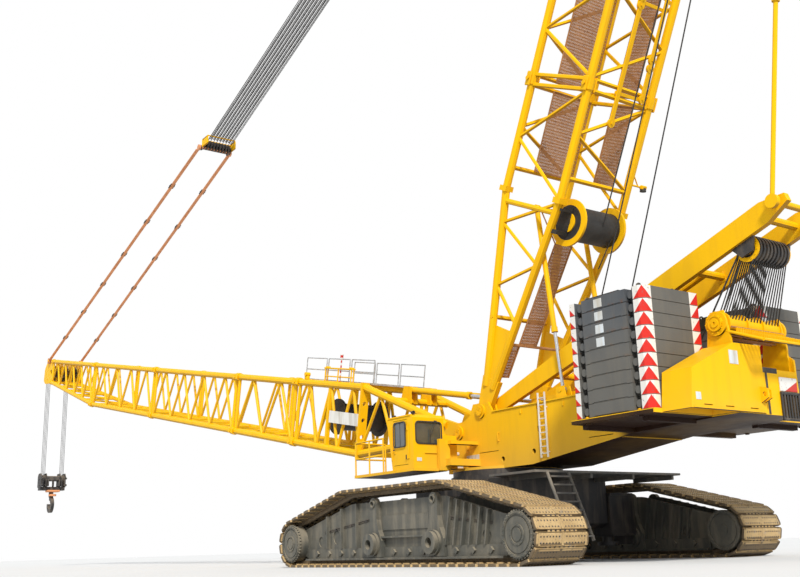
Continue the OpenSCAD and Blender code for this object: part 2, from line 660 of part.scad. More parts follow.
// Cab: a shell with windows cut through it, glass, seat and console, a floor with railings and a side door.
cab_x0 = 160;
cab_x1 = cab_x0 + cab_l;
cab_y0 = cab_y1 - cab_w;
cab_z0 = table_z + 40;
cab_z1 = cab_z0 + cab_h;
wall = 30;
glass_t = 8;
door_x = [cab_x0 + 170, cab_x0 + 600];
door_z = [cab_z0 + 80, cab_z1 - 85];
sill_z = cab_z0 + 400;
head_rail_z = cab_z1 - 105;
hinge_x = door_x[0] - 5;
hinge_z = [cab_z0 + 210, cab_z0 + 710];
hinge_h = 40;
// The windscreen's foot lies further back than its head
rake = 150;
function front_at(z) = cab_x1 - rake * (cab_z1 - 50 - z) / (cab_h - 50);

// A window's opening through a wall that faces along Y, with rounded corners.
module window_y(x0, x1, z0, z1, y0, y1, r) {
  blk(x0 + r, x1 - r, y0, y1, z0, z1);
  blk(x0, x1, y0, y1, z0 + r, z1 - r);
  for (x = [x0 + r, x1 - r], z = [z0 + r, z1 - r]) disc(x, z, r, y0, y1, 24);
}

module cab_shell() {
  color(yellow) in_frame() {
    for (z = hinge_z) {
      translate([hinge_x, cab_y1 + 10, z - hinge_h]) cylinder(h = hinge_h - gap, r = 9, $fn = 20);
      blk(hinge_x - 40, hinge_x, cab_y1 - 5, cab_y1 + 10, z - hinge_h, z - gap);
    }
    difference() {
      plate([[cab_x0, cab_z0], [cab_x0, cab_z1 - 60], [cab_x0 + 60, cab_z1], [cab_x1 - 40, cab_z1],
             [cab_x1, cab_z1 - 50], [cab_x1 - rake, cab_z0]], cab_y0, cab_y1);
      plate([[cab_x0 + wall, cab_z0 + 35], [cab_x0 + wall, cab_z1 - 80], [cab_x0 + 75, cab_z1 - 32],
             [cab_x1 - 65, cab_z1 - 32], [cab_x1 - 35, cab_z1 - 75], [cab_x1 - rake - 28, cab_z0 + 35]],
            cab_y0 + wall, cab_y1 - wall);
      // door way, windscreen, rear window, right window, roof window
      blk(door_x[0] - 8, door_x[1] + 8, cab_y1 - 40, cab_y1 + 10, door_z[0] - 8, door_z[1] + 8);
      blk(cab_x1 - 260, cab_x1 + 10, cab_y0 + 60, cab_y1 - 60, cab_z0 + 160, head_rail_z);
      translate([cab_x0, 0, 0]) rotate([0, 0, 90])
        window_y(cab_y0 + 70, cab_y1 - 70, sill_z + 40, head_rail_z - 40, -wall - 10, 10, 45);
      window_y(door_x[0], door_x[1], sill_z, head_rail_z - 20, cab_y0 - 10, cab_y0 + wall + 10, 45);
      blk(cab_x0 + 400, cab_x0 + 660, cab_y0 + 120, cab_y1 - 120, cab_z1 - 50, cab_z1 + 10);
    }
    // locker on the cab's inner side and the rain gutter over the roof's edge
    blk(cab_x0 + 20, cab_x0 + 440, cab_y0 - 300, cab_y0 + bite, cab_z0 + gap, cab_z0 + 590);
    blk(cab_x0 + 60, cab_x1 - 45, cab_y1 - bite, cab_y1 + 14, cab_z1 - 28, cab_z1 - 12);
  }
}

module cab_glass() {
  g = gap;
  color(glass_tint) in_frame() {
    plate([[front_at(cab_z0 + 160 + g) - 4, cab_z0 + 160 + g], [front_at(head_rail_z - g) - 4, head_rail_z - g],
           [front_at(head_rail_z - g) - 12, head_rail_z - g], [front_at(cab_z0 + 160 + g) - 12, cab_z0 + 160 + g]],
          cab_y0 + 60 + g, cab_y1 - 60 - g);
    translate([cab_x0, 0, 0]) rotate([0, 0, 90])
      window_y(cab_y0 + 70 + g, cab_y1 - 70 - g, sill_z + 40 + g, head_rail_z - 40 - g, -10 - glass_t, -10, 45 - g);
    window_y(door_x[0] + g, door_x[1] - g, sill_z + g, head_rail_z - 20 - g, cab_y0 + 10, cab_y0 + 10 + glass_t, 45 - g);
    blk(cab_x0 + 400 + g, cab_x0 + 660 - g, cab_y0 + 120 + g, cab_y1 - 120 - g, cab_z1 - 20, cab_z1 - 20 + glass_t);
  }
}

module cab_interior() {
  floor_z = cab_z0 + 35 + gap;
  seat_y = (cab_y0 + cab_y1) / 2;
  color(black) in_frame() {
    blk(cab_x0 + 140, cab_x0 + 400, seat_y - 120, seat_y + 120, floor_z, floor_z + 185);
    blk(cab_x0 + 130, cab_x0 + 410, seat_y - 140, seat_y + 140, floor_z + 184, floor_z + 244);
    plate([[cab_x0 + 140, floor_z + 243], [cab_x0 + 70, floor_z + 604], [cab_x0 + 125, floor_z + 614],
           [cab_x0 + 195, floor_z + 243]], seat_y - 130, seat_y + 130);
    for (s = [-1, 1]) blk(cab_x0 + 180, cab_x0 + 420, seat_y + s * 165, seat_y + s * 205, floor_z, floor_z + 320);
    for (s = [-1, 1]) translate([cab_x0 + 390, seat_y + s * 185, floor_z + 319]) cylinder(h = 90, r = 9, $fn = 12);
    blk(cab_x0 + 500, cab_x0 + 590, seat_y - 190, seat_y - 90, floor_z, floor_z + 385);
  }
}

// Floor under the cab, its arms to the turntable, and the railed platform in front.
rail_r = 16;
rail_h = 600;
module cab_platform() {
  floor_t = 50;
  front_x = cab_x1 + 1090;
  posts = [cab_x1 + 140, cab_x1 + 600, front_x - 20];
  z0 = cab_z0 - floor_t;
  color(yellow) in_frame() {
    blk(cab_x0 - 40, front_x, cab_y0 - 20, cab_y1 + 20, z0, cab_z0 - gap);
    blk(-80, 130, side_y + gap, cab_y0 - 10, cab_z0 + 40, cab_z0 + 160);
    blk(-80, 130, cab_y0 - 60, cab_y0 + 60, cab_z0 + 40, cab_z0 + 160);
    blk(60, 130, cab_y0 - 50, cab_y0 + 180, z0 + 10, cab_z0 + 510);
    blk(-40, 130, side_y + gap, cab_y0, cab_z0 + 420, cab_z0 + 480);
    for (x = posts) bar([x, cab_y1, cab_z0 - 10], [x, cab_y1, cab_z0 + rail_h], rail_r, 8);
    bar([posts[2], cab_y0, cab_z0 - 10], [posts[2], cab_y0, cab_z0 + rail_h], rail_r, 8);
    for (z = [cab_z0 + rail_h / 2, cab_z0 + rail_h]) {
      bar([posts[0], cab_y1, z], [posts[2], cab_y1, z], rail_r, 8);
      bar([posts[2], cab_y0, z], [posts[2], cab_y1, z], rail_r, 8);
    }
  }
}

module cab_door() {
  edge = 45;
  color(yellow) in_frame() {
    difference() {
      blk(door_x[0], door_x[1], cab_y1 - 26, cab_y1, door_z[0], door_z[1]);
      window_y(door_x[0] + edge, door_x[1] - edge, sill_z, door_z[1] - edge, cab_y1 - 40, cab_y1 + 10, 35);
    }
    blk(door_x[0] + edge - bite, door_x[1] - edge + bite, cab_y1 - 18, cab_y1 - 10, sill_z - bite, door_z[1] - edge + bite);
    for (z = hinge_z) {
      translate([hinge_x, cab_y1 + 10, z]) cylinder(h = hinge_h, r = 9, $fn = 20);
      blk(hinge_x, hinge_x + 40, cab_y1 - bite, cab_y1 + 10, z, z + hinge_h);
    }
    blk(door_x[1] - 60, door_x[1] - 25, cab_y1 - bite, cab_y1 + 22, sill_z - 110, sill_z - 94);
  }
}

// Lacing of one face between two chords: a zigzag of n bays from s0 to s1.
// p0, p1 and q0, q1 are the two chords' points at the ends, as [y, z].
function along(s0, s1, p0, p1, t) = [s0 + (s1 - s0) * t, p0[0] + (p1[0] - p0[0]) * t, p0[1] + (p1[1] - p0[1]) * t];
module zigzag(s0, s1, p0, p1, q0, q1, n, r) {
  for (i = [0 : n - 1]) {
    bar(along(s0, s1, p0, p1, i / n), along(s0, s1, q0, q1, (i + 0.5) / n), r, 6);
    bar(along(s0, s1, q0, q1, (i + 0.5) / n), along(s0, s1, p0, p1, (i + 1) / n), r, 6);
  }
}

// A box section of four chords: half width w, u above and d below the axis at each end.
module box_section(s0, s1, w0, w1, u0, u1, d0, d1, n, rc, rl) {
  a = s0 + 1.6 * rc;
  b = s1 - 1.6 * rc;
  ends = [[s0 + 1.2 * rc, w0, u0, d0], [s1 - 1.2 * rc, w1, u1, d1]];
  both() {
    bar([s0, w0, u0], [s1, w1, u1], rc, 10);
    bar([s0, w0, -d0], [s1, w1, -d1], rc, 10);
    zigzag(a, b, [w0, -d0], [w1, -d1], [w0, u0], [w1, u1], n, rl);
    for (q = ends) bar([q[0], q[1], -q[3]], [q[0], q[1], q[2]], rl * 1.2, 6);
    // collars of the pinned joints
    for (q = [[s0, w0, u0], [s0, w0, -d0], [s1 - rc * 1.2, w1, u1], [s1 - rc * 1.2, w1, -d1]])
      bar(q, q + [rc * 1.2, 0, 0], rc * 1.3, 10);
  }
  zigzag(a, b, [-w0, u0], [-w1, u1], [w0, u0], [w1, u1], n, rl);
  zigzag(a, b, [w0, -d0], [w1, -d1], [-w0, -d0], [-w1, -d1], n, rl);
  for (q = ends, z = [q[2], -q[3]]) bar([q[0], -q[1], z], [q[0], q[1], z], rl * 1.2, 6);
}

// Boom foot: two plated legs from the pins to a portal plate, then a box section that carries the winch.
leg_s = 3200;
winch_s = 4600;
stop_s = 2300;
stop_z = 720;
stop_pin_r = 32;
// The legs' lines start at leg_foot beside the pin; the round tubes themselves start at root_s
leg_foot = [60, 30];
root_s = 460;
function leg_at(s1, w1, h1, s, z) =
  let (t = (s - leg_foot[0]) / (s1 - leg_foot[0]))
  [s, foot_y + (w1 - foot_y) * t, z * (leg_foot[1] + (h1 - leg_foot[1]) * t)];

module boom_foot() {
  end_s = boom_foot_l - gap;
  collar_s = boom_foot_l - 96;
  color(yellow) in_frame() at_boom() difference() {
    union() {
      both() {
        disc(0, 0, 150, foot_y - 50, foot_y + 50, 32);
        plate([[0, -148], [620, -230], [620, 230], [0, 148]], foot_y - 50, foot_y + 50);
        for (z = [-1, 1]) {
          bar(leg_at(leg_s, boom_w, boom_h, root_s, z), [leg_s, boom_w, z * boom_h], boom_rc, 10);
          bar([leg_s, boom_w, z * boom_h], [end_s, boom_w, z * boom_h], boom_rc, 10);
          bar([collar_s, boom_w, z * boom_h], [end_s, boom_w, z * boom_h], boom_rc * 1.3, 10);
        }
        plate([[600, -200], [1500, -340], [1620, 0], [1500, 340], [600, 200]], foot_y - 12, foot_y + 28);
        zigzag(900, leg_s, [foot_y + 50, -200], [boom_w, -boom_h], [foot_y + 50, 200], [boom_w, boom_h], 2, boom_rl);
        zigzag(leg_s, boom_foot_l - 130, [boom_w, -boom_h], [boom_w, -boom_h], [boom_w, boom_h], [boom_w, boom_h], 3, boom_rl);
        difference() {
          blk(leg_s - 30, leg_s + 30, boom_w - 95, boom_w + 95, -boom_h - 95, boom_h + 95);
          for (z = [-350, 0, 350]) translate([leg_s - 40, boom_w, z]) rotate([0, 90, 0]) cylinder(h = 80, r = 45, $fn = 20);
        }
        bar([collar_s, boom_w, -boom_h], [collar_s, boom_w, boom_h], 42, 6);
        blk(winch_s - 40, winch_s + 40, boom_w - 40, boom_w + 40, -boom_h, boom_h);
        for (y = [160, 312]) plate([[stop_s - 180, stop_z - 280], [stop_s - 120, stop_z + 70], [stop_s + 120, stop_z + 70],
                                    [stop_s + 200, stop_z - 280]], y, y + 28);
        disc(stop_s, stop_z, stop_pin_r, 165, 335, 20);
      }
      for (x = [leg_s, 5000]) blk(x - 30, x + 30, -boom_w, boom_w, boom_h - 40, boom_h + 60);
      blk(leg_s - 30, leg_s + 30, -boom_w, boom_w, -boom_h - 60, -boom_h + 40);
      bar([stop_s, -730, stop_z - 240], [stop_s, 730, stop_z - 240], 70, 10);
      bar([1500, -680, -320], [1500, 680, -320], 50, 8);
      zigzag(leg_s, boom_foot_l - 130, [-boom_w, -boom_h], [-boom_w, -boom_h], [boom_w, -boom_h], [boom_w, -boom_h], 2, boom_rl);
      for (z = [-boom_h, boom_h]) bar([collar_s, -boom_w, z], [collar_s, boom_w, z], 42, 6);
    }
    disc(0, 0, pin_r + pin_gap, -side_y, side_y, 24);
  }
}

module boom_short_section() {
  s = boom_foot_l;
  color(yellow) in_frame() at_boom()
    box_section(s, s + boom_short_l - gap, boom_w, boom_w, boom_h, boom_h, boom_h, boom_h, 2, boom_rc, boom_rl);
}

module boom_long_sections() {
  color(yellow) in_frame() at_boom() for (i = [0, 1]) let (s = boom_foot_l + boom_short_l + i * boom_long_l)
    box_section(s, s + boom_long_l - gap, boom_w, boom_w, boom_h, boom_h, boom_h, boom_h, 4, boom_rc, boom_rl);
}

// Boom head: a tapered section, four head plates that hold the sheaves, and the pendants' cross pin.
head_y = [540, 180];
head_t = 40;
pen_s = boom_l - 500;
pen_r = 55;
jib_pin = [boom_l - 300, -100];
module boom_head() {
  s = boom_foot_l + boom_short_l + 2 * boom_long_l;
  color(yellow) in_frame() at_boom() {
    difference() {
      box_section(s, boom_l - 900, boom_w, head_y[0] + 20, boom_h, boom_h, boom_h, 150, 5, boom_rc, boom_rl);
      blk(s - 200, s, -1000, 1000, -1000, 1000);
    }
    both() for (y = head_y) difference() {
      plate([[boom_l - 1050, boom_h + 40], [boom_l - 200, boom_h + 90], [boom_l + 180, 330], [boom_l + 180, -150],
             [boom_l - 60, -260], [boom_l - 1000, -200]], y, y + head_t);
      disc(jib_pin[0], jib_pin[1], 45, y - 1, y + head_t + 1, 24);
      disc(boom_l - 760, 250, 110, y - 1, y + head_t + 1, 24);
    }
    for (z = [[-180, -100], [boom_h - 60, boom_h + 20]])
      blk(boom_l - 1040, boom_l - 960, -head_y[0] - head_t + 5, head_y[0] + head_t - 5, z[0], z[1]);
    disc(pen_s, boom_h, pen_r, -boom_w + 100, boom_w - 100, 24);
  }
}

sheave_t = 18;
sheave_pitch = 50;
module boom_sheaves() {
  color(dark) in_frame() at_boom() for (c = [[boom_l, 0], [boom_l - 560, 280]]) {
    for (y = [-450 : sheave_pitch : 450]) if (abs(y) > 250 || abs(y) < 150) disc(c[0], c[1], sheave_r, y - sheave_t, y + sheave_t, 32);
    for (s = [-1, 1]) disc(c[0], c[1], 50, s * (head_y[1] + head_t + gap), s * (head_y[0] - gap), 24);
    disc(c[0], c[1], 50, gap - head_y[1], head_y[1] - gap, 24);
  }
}

module boom_winch() {
  color(dark) in_frame() at_boom() {
    disc(winch_s, 0, 300, -560, 560, 40);
    for (y = [-550, 550]) disc(winch_s, 0, 400, y - 20, y + 20, 40);
    both() disc(winch_s, 0, 90, 560, boom_w - 40 - gap, 24);
  }
}

// Walkway over the boom foot, with three hooped rails on each side.
hoop_n = 3;
hoop_h = 520;
walk_s = [3060, 6040];
module boom_walkway() {
  floor_z = boom_h + 60 + gap;
  rail_y = boom_w - 130;
  hoop_l = (walk_s[1] - walk_s[0]) / hoop_n;
  color(bare_steel) in_frame() at_boom() {
    blk(walk_s[0], walk_s[1], -rail_y - 15, rail_y + 15, floor_z, floor_z + 14);
    for (s = [-1, 1], i = [0 : hoop_n - 1]) let (a = walk_s[0] + i * hoop_l + 40, b = a + hoop_l - 80) {
      for (x = [a, b]) bar([x, s * rail_y, floor_z + 5], [x, s * rail_y, floor_z + hoop_h], 13, 8);
      for (z = [0.5, 1]) bar([a, s * rail_y, floor_z + hoop_h * z], [b, s * rail_y, floor_z + hoop_h * z], 13, 8);
    }
  }
}

module boom_sign() {
  color(off_white) in_frame() at_boom() blk(leg_s + 30 + gap, leg_s + 1250, boom_w + 70, boom_w + 80, -130, 130);
}

// Pendant bars from the boom head up to the tackle's block.
blk_x = 13100;
blk_z = 12550;
anchor = [boom_px + pen_s * cos(boom_deg) - boom_h * sin(boom_deg), boom_pz + pen_s * sin(boom_deg) + boom_h * cos(boom_deg)];
tackle_pin_y = 489.6;
pendant_n = 4;
module boom_pendants() {
  low = [anchor[0], boom_w - 150, anchor[1]];
  high = [blk_x, 520, blk_z];
  color(primer) in_frame() both() {
    bar(mix(low, high, 0.006), high, 26, 8);
    for (i = [1 : pendant_n - 1]) bar(mix(low, high, i / pendant_n - 0.01), mix(low, high, i / pendant_n + 0.01), 48, 8);
    difference() {
      disc(anchor[0], anchor[1], 120, boom_w - 185, boom_w - 115, 24);
      disc(anchor[0], anchor[1], pen_r + gap, boom_w - 200, boom_w - 100, 24);
    }
    disc(blk_x, blk_z, 90, tackle_pin_y + gap, 550, 24);
  }
}

// Mast foot: two plated legs, left open between them where the boom stops pass, then a laced box.
knee_s = 4000;
tie_s = 4400;
mast_stop_s = 3784;
mast_winch_s = 3675;
module mast_foot() {
  end_s = mast_foot_l - gap;
  collar_s = mast_foot_l - 90;
  color(yellow) in_frame() at_mast() difference() {
    union() {
      both() {
        disc(0, 0, 150, foot_y - 50, foot_y + 50, 32);
        plate([[0, -148], [620, -230], [620, 230], [0, 148]], foot_y - 50, foot_y + 50);
        for (z = [-1, 1]) {
          bar(leg_at(knee_s, mast_w, mast_h, root_s, z), [knee_s, mast_w, z * mast_h], mast_rc, 10);
          bar([knee_s, mast_w, z * mast_h], [end_s, mast_w, z * mast_h], mast_rc, 10);
          bar([collar_s, mast_w, z * mast_h], [end_s, mast_w, z * mast_h], mast_rc * 1.3, 10);
          blk(knee_s - 50, knee_s + 50, mast_w - 90, mast_w + 90, z * mast_h - 90, z * mast_h + 90);
        }
        plate([[600, -170], [1560, -300], [1560, 300], [600, 170]], foot_y + 2, foot_y + 36);
        zigzag(1700, 3960, [foot_y + 58, -325], [mast_w - 2, 8 - mast_h], [foot_y + 58, 325], [mast_w - 2, mast_h - 8], 2, mast_rl);
        zigzag(knee_s, mast_foot_l - 110, [mast_w, -mast_h], [mast_w, -mast_h], [mast_w, mast_h], [mast_w, mast_h], 1, mast_rl);
        bar([mast_stop_s, mast_w - 8, -700], [mast_stop_s, mast_w - 8, 700], 50, 8);
        bar([collar_s, mast_w, -mast_h], [collar_s, mast_w, mast_h], 40, 6);
      }
      for (q = [[1700, 315], [tie_s, mast_h], [tie_s, -mast_h], [collar_s, mast_h], [collar_s, -mast_h]])
        bar([q[0], 10 - mast_w, q[1]], [q[0], mast_w - 10, q[1]], 42, 8);
      bar([mast_stop_s, 8 - mast_w, 0], [mast_stop_s, mast_w - 8, 0], 30, 12);
      for (z = [-mast_h, mast_h]) zigzag(tie_s, mast_foot_l - 110, [-mast_w, z], [-mast_w, z], [mast_w, z], [mast_w, z], 1, mast_rl);
    }
    disc(0, 0, pin_r + pin_gap, -side_y, side_y, 24);
  }
}

module mast_sections() {
  color(yellow) in_frame() at_mast() for (i = [0, 1]) let (s = mast_foot_l + i * mast_mid_l)
    box_section(s, s + mast_mid_l - gap, mast_w, mast_w, mast_h, mast_h, mast_h, mast_h, 3, mast_rc, mast_rl);
}

// Mast head: a tapered section with cheek plates, the top sheaves, and pins for the bars and the tackle.
cheek_y = [480, 530];
module mast_head() {
  s = mast_foot_l + 2 * mast_mid_l;
  top_s = mast_l - 60;
  color(yellow) in_frame() at_mast() {
    difference() {
      box_section(s, mast_l - 300, mast_w, 500, mast_h, 350, mast_h, 350, 2, mast_rc, mast_rl);
      blk(s - 200, s, -1000, 1000, -1000, 1000);
    }
    both() {
      plate([[mast_l - 420, -420], [mast_l - 420, 420], [mast_l - 180, 500], [mast_l, 500], [mast_l + 80, 300],
             [mast_l + 80, -300], [mast_l, -500], [mast_l - 180, -500]], cheek_y[0], cheek_y[1]);
      disc(mast_pin_s, -mast_pin_z, mast_pin_r, cheek_y[0] - 2, cheek_y[1] + 2, 32);
      disc(mast_pin_s, -mast_pin_z, 55, 440, 590, 24);
    }
    bar([top_s, -500, 0], [top_s, 500, 0], 50, 12);
    for (y = [-350 : 100 : 350]) disc(top_s, 0, 200, y - 20, y + 20, 28);
  }
}

// Rope drum behind the mast's knee, on brackets over the rear legs.
module mast_winch() {
  drum_z = -800;
  color(dark) in_frame() at_mast() {
    disc(mast_winch_s, drum_z, 300, -450, 450, 40);
    for (y = [-475, 475]) disc(mast_winch_s, drum_z, 400, y - 15, y + 15, 40);
    disc(mast_winch_s, drum_z, 70, -520, 520, 24);
    both() {
      blk(mast_winch_s - 245, mast_winch_s + 245, 500, 530, -860, -640);
      for (x = [[-235, -165], [165, 209]]) difference() {
        blk(mast_winch_s + x[0], mast_winch_s + x[1], 500, mast_w, -850, -650);
        bar(leg_at(knee_s, mast_w, mast_h, root_s, -1), [knee_s, mast_w, -mast_h], mast_rc + gap, 10);
      }
    }
  }
}

// Straight bars from the mast head down to the stay frame's tip.
stay_tip = [mast_px - stay_l * cos(stay_deg), mast_pz + stay_l * sin(stay_deg)];
bar_y = 590;
bar_n = 5;
module mast_bars() {
  a = v3(mast_back, bar_y);
  b = v3(stay_tip, bar_y);
  color(yellow) in_frame() both() {
    bar(mix(a, b, 0.005), b, 34, 8);
    for (i = [1 : bar_n - 1]) bar(mix(a, b, i / bar_n - 0.008), mix(a, b, i / bar_n + 0.008), 58, 8);
    difference() {
      union() {
        disc(mast_back[0], mast_back[1], 100, bar_y - 50, bar_y + 50, 24);
        disc(stay_tip[0], stay_tip[1], 100, bar_y - 34, bar_y + 34, 24);
      }
      disc(mast_back[0], mast_back[1], 55 + gap, bar_y - 60, bar_y + 60, 24);
    }
  }
}

// Stay frame: two deep girders joined by cross tubes and a middle strut.
girder_y = [side_y - 310, side_y - 210];
girder_h = 170;
module stay_frame() {
  color(yellow) in_frame() at_stay() {
    difference() {
      both() {
        disc(0, 0, 140, girder_y[0], girder_y[1], 32);
        mirror([0, 0, 1]) plate([[0, -120], [2500, -girder_h], [stay_l - 250, -girder_h], [stay_l + 150, -60],
                                 [stay_l + 150, 60], [stay_l - 250, girder_h], [2500, girder_h], [0, 120]],
                                girder_y[0], girder_y[1]);
      }
      disc(0, 0, pin_r + pin_gap, girder_y[0] - 10, girder_y[1] + 10, 24);
      disc(0, 0, pin_r + pin_gap, -girder_y[0] + 10, -girder_y[1] - 10, 24);
    }
    for (x = [1500, 3200, 4900, stay_l - 350]) bar([x, -girder_y[0] - 10, 0], [x, girder_y[0] + 10, 0], 60, 10);
    bar([1500, 0, 0], [4900, 0, 0], 50, 12);
    bar([stay_l, -bar_y + 35, 0], [stay_l, bar_y - 35, 0], 50, 16);
  }
}

module stay_sheaves() {
  hub_s = stay_l - 750;
  hub_z = girder_h + 90;
  color(dark) in_frame() at_stay() {
    for (y = [-320 : 80 : 320]) disc(hub_s, hub_z, 200, y - 20, y + 20, 32);
    disc(hub_s, hub_z, 55, -girder_y[0] - 40, girder_y[0] + 40, 24);
    both() plate([[hub_s - 200, girder_h + gap], [hub_s - 100, girder_h + 190], [hub_s + 100, girder_h + 190],
                  [hub_s + 200, girder_h + gap]], girder_y[0] + 10, girder_y[0] + 50);
  }
}

// Tackle: a block between the pendants' ends and its rope parts up to the mast head.
part_n = 8;
module tackle() {
  hub = [blk_x - 180, blk_z + 40];
  color(black) in_frame() {
    both() plate([[blk_x - 260, blk_z + 20], [blk_x - 200, blk_z + 150], [blk_x + 60, blk_z + 60],
                  [blk_x + 60, blk_z - 60], [blk_x - 200, blk_z - 90]], 420, 450);
    disc(blk_x, blk_z, 40, -tackle_pin_y, tackle_pin_y, 16);
    disc(hub[0], hub[1], 45, -440, 440, 16);
    for (i = [0 : part_n - 1]) let (y = (i - (part_n - 1) / 2) * 100) {
      disc(hub[0], hub[1], 150, y - 18, y + 18, 24);
      bar([hub[0], y, hub[1] + 110], v3(mast_front, y), 9, 5);
    }
    disc(mast_front[0], mast_front[1], 50, 1 - cheek_y[0], cheek_y[0] - 1, 24);
  }
}

// Hoist lines and the hook block.
line_y = [300, 350, 400, 450];
hook_x = head_x + hook_dx;
hook_z = head_z - hook_drop;
module hook_lines() {
  color(black) in_frame() for (s = [-1, 1], y = line_y) bar([hook_x, s * y, hook_z], [hook_x, s * y, head_z + 60], 9, 6);
}

module hook_block() {
  color(black) in_frame() {
    both() {
      for (y = [260, 470]) translate([hook_x, 0, hook_z])
        plate([[-260, -500], [-260, -60], [-160, 60], [160, 60], [260, -60], [260, -500]], y, y + 30);
      for (y = line_y) disc(hook_x, hook_z - 180 - gap, 180, y - sheave_t, y + sheave_t, 28);
      disc(hook_x, hook_z - 180, 40, 250, 510, 20);
    }
    blk(hook_x - 150, hook_x + 150, -500, 500, hook_z - 620, hook_z - 480);
    translate([hook_x, 0, hook_z - 900]) cylinder(h = 300, r = 90, $fn = 24);
    translate([hook_x, 60, hook_z - 1200]) rotate([90, 0, 0]) linear_extrude(height = 120) difference() {
      circle(r = hook_r, $fn = 40);
      circle(r = hook_r - 150, $fn = 32);
      polygon([[0, 0], [420, 60], [420, 400], [60, 400]]);
    }
  }
}

// Telescopic stops: the barrel's eye is on the boom or the mast, the rod's eye on the turntable.
boom_stop_top = [boom_px + stop_s * cos(boom_deg) - stop_z * sin(boom_deg), boom_pz + stop_s * sin(boom_deg) + stop_z * cos(boom_deg)];
boom_stop_u = (boom_stop_pin - boom_stop_top) / norm(boom_stop_pin - boom_stop_top);
mast_stop_top = [mast_px - mast_stop_s * sin(mast_deg), mast_pz + mast_stop_s * cos(mast_deg)];
mast_stop_u = (mast_stop_pin - mast_stop_top) / norm(mast_stop_pin - mast_stop_top);

module barrel(top, u, y, start, stop, r, bore, bore_at, eye_r, pin) {
  both() difference() {
    union() {
      bar(v3(top + u * start, y), v3(top + u * stop, y), r, 24);
      bar(v3(top + u * (stop - 90), y), v3(top + u * stop, y), r * 1.25, 24);
      disc(top[0], top[1], eye_r, y - 40, y + 40, 24);
    }
    disc(top[0], top[1], pin + pin_gap, y - 60, y + 60, 20);
    bar(v3(top + u * bore_at, y), v3(top + u * (stop + 10), y), bore, 24);
  }
}

module rod(top, foot, u, y, start, r, piston, eye_r) {
  both() difference() {
    union() {
      bar(v3(top + u * start, y), v3(foot, y), r, 24);
      bar(v3(top + u * start, y), v3(top + u * (start + 80), y), piston, 24);
      disc(foot[0], foot[1], eye_r, y - 40, y + 40, 24);
    }
    disc(foot[0], foot[1], eye_r / 2, y - 60, y + 60, 20);
  }
}

module boom_stop_barrels() {
  color(yellow) in_frame() barrel(boom_stop_top, boom_stop_u, boom_stop_y, 60, 2000, 60, 42, 120, 75, stop_pin_r);
}
module boom_stop_rods() {
  color(bare_steel) in_frame() rod(boom_stop_top, boom_stop_pin, boom_stop_u, boom_stop_y, 1650, 34, 42 - gap, 70);
}
module mast_stop_barrels() {
  color(yellow) in_frame() barrel(mast_stop_top, mast_stop_u, mast_stop_y, 40, 2300, 45, 34, 300, 62, 30);
}
module mast_stop_rods() {
  color(bare_steel) in_frame() rod(mast_stop_top, mast_stop_pin, mast_stop_u, mast_stop_y, 1500, 28, 34 - gap, 56);
}

carbody();
slew_ring();
crawler_frame(1);  // crawler_frame_left
crawler_frame(-1);  // crawler_frame_right
track(1);  // track_left
track(-1);  // track_right
tumblers();
rollers();
carbody_decks();
turntable();
engine_block();
engine_hood();
ballast_bracket();
counterweight(1);  // counterweight_left
counterweight(-1);  // counterweight_right
winch_frame();
side_ladder();
cab_shell();
cab_glass();
cab_interior();
cab_platform();
cab_door();
boom_foot();
boom_short_section();
boom_long_sections();
boom_head();
boom_sheaves();
boom_winch();
boom_walkway();
boom_sign();
boom_pendants();
mast_foot();
mast_sections();
mast_head();
mast_winch();
mast_bars();
stay_frame();
stay_sheaves();
tackle();
hook_lines();
hook_block();
boom_stop_barrels();
boom_stop_rods();
mast_stop_barrels();
mast_stop_rods();
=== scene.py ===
# %% [markdown]
# # A crawler crane with a lattice boom and a derrick mast
#
# The crane is a large machine for heavy lifts. Two crawlers carry a turntable, and the turntable carries
# the cab, the slab ballast, the winches, a long lattice boom and a second lattice mast behind it.
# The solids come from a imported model. This notebook gives them paint, dust and wear, and adds the
# thin things that a solid model leaves out: shoes with bolts, ropes, gratings, plates, seals and lamps.
#
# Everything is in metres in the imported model's frame: +X runs forwards along the boom, +Y is the
# machine's left and +Z is up. Machine places are easier to read in millimetres from the slewing axis,
# so one small function turns them into the frame.

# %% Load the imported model
import json
import math

import bpy
from mathutils import Matrix, Vector


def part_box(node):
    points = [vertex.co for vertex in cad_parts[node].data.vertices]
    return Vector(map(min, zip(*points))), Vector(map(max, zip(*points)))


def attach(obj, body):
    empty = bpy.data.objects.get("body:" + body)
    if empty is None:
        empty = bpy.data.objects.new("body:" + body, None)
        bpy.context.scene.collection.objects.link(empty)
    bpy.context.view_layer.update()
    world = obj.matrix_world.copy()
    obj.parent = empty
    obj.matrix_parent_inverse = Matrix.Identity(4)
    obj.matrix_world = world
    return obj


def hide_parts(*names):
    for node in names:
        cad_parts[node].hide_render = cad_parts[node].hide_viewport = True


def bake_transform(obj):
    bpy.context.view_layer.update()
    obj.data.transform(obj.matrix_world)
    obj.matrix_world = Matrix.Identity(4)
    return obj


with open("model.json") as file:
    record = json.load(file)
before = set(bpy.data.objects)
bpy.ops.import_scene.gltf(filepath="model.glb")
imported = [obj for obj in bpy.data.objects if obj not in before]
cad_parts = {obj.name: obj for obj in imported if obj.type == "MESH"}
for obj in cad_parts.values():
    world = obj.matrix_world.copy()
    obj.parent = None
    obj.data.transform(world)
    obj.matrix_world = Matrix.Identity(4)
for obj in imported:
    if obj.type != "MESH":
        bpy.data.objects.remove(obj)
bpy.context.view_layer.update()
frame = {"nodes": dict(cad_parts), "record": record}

# %% Machine places
AXIS_X = -9.9582165


def at(x, y, z):
    """A machine place, in millimetres from the slewing axis, as a point of the frame."""
    return Vector((AXIS_X + x / 1000, y / 1000, z / 1000))


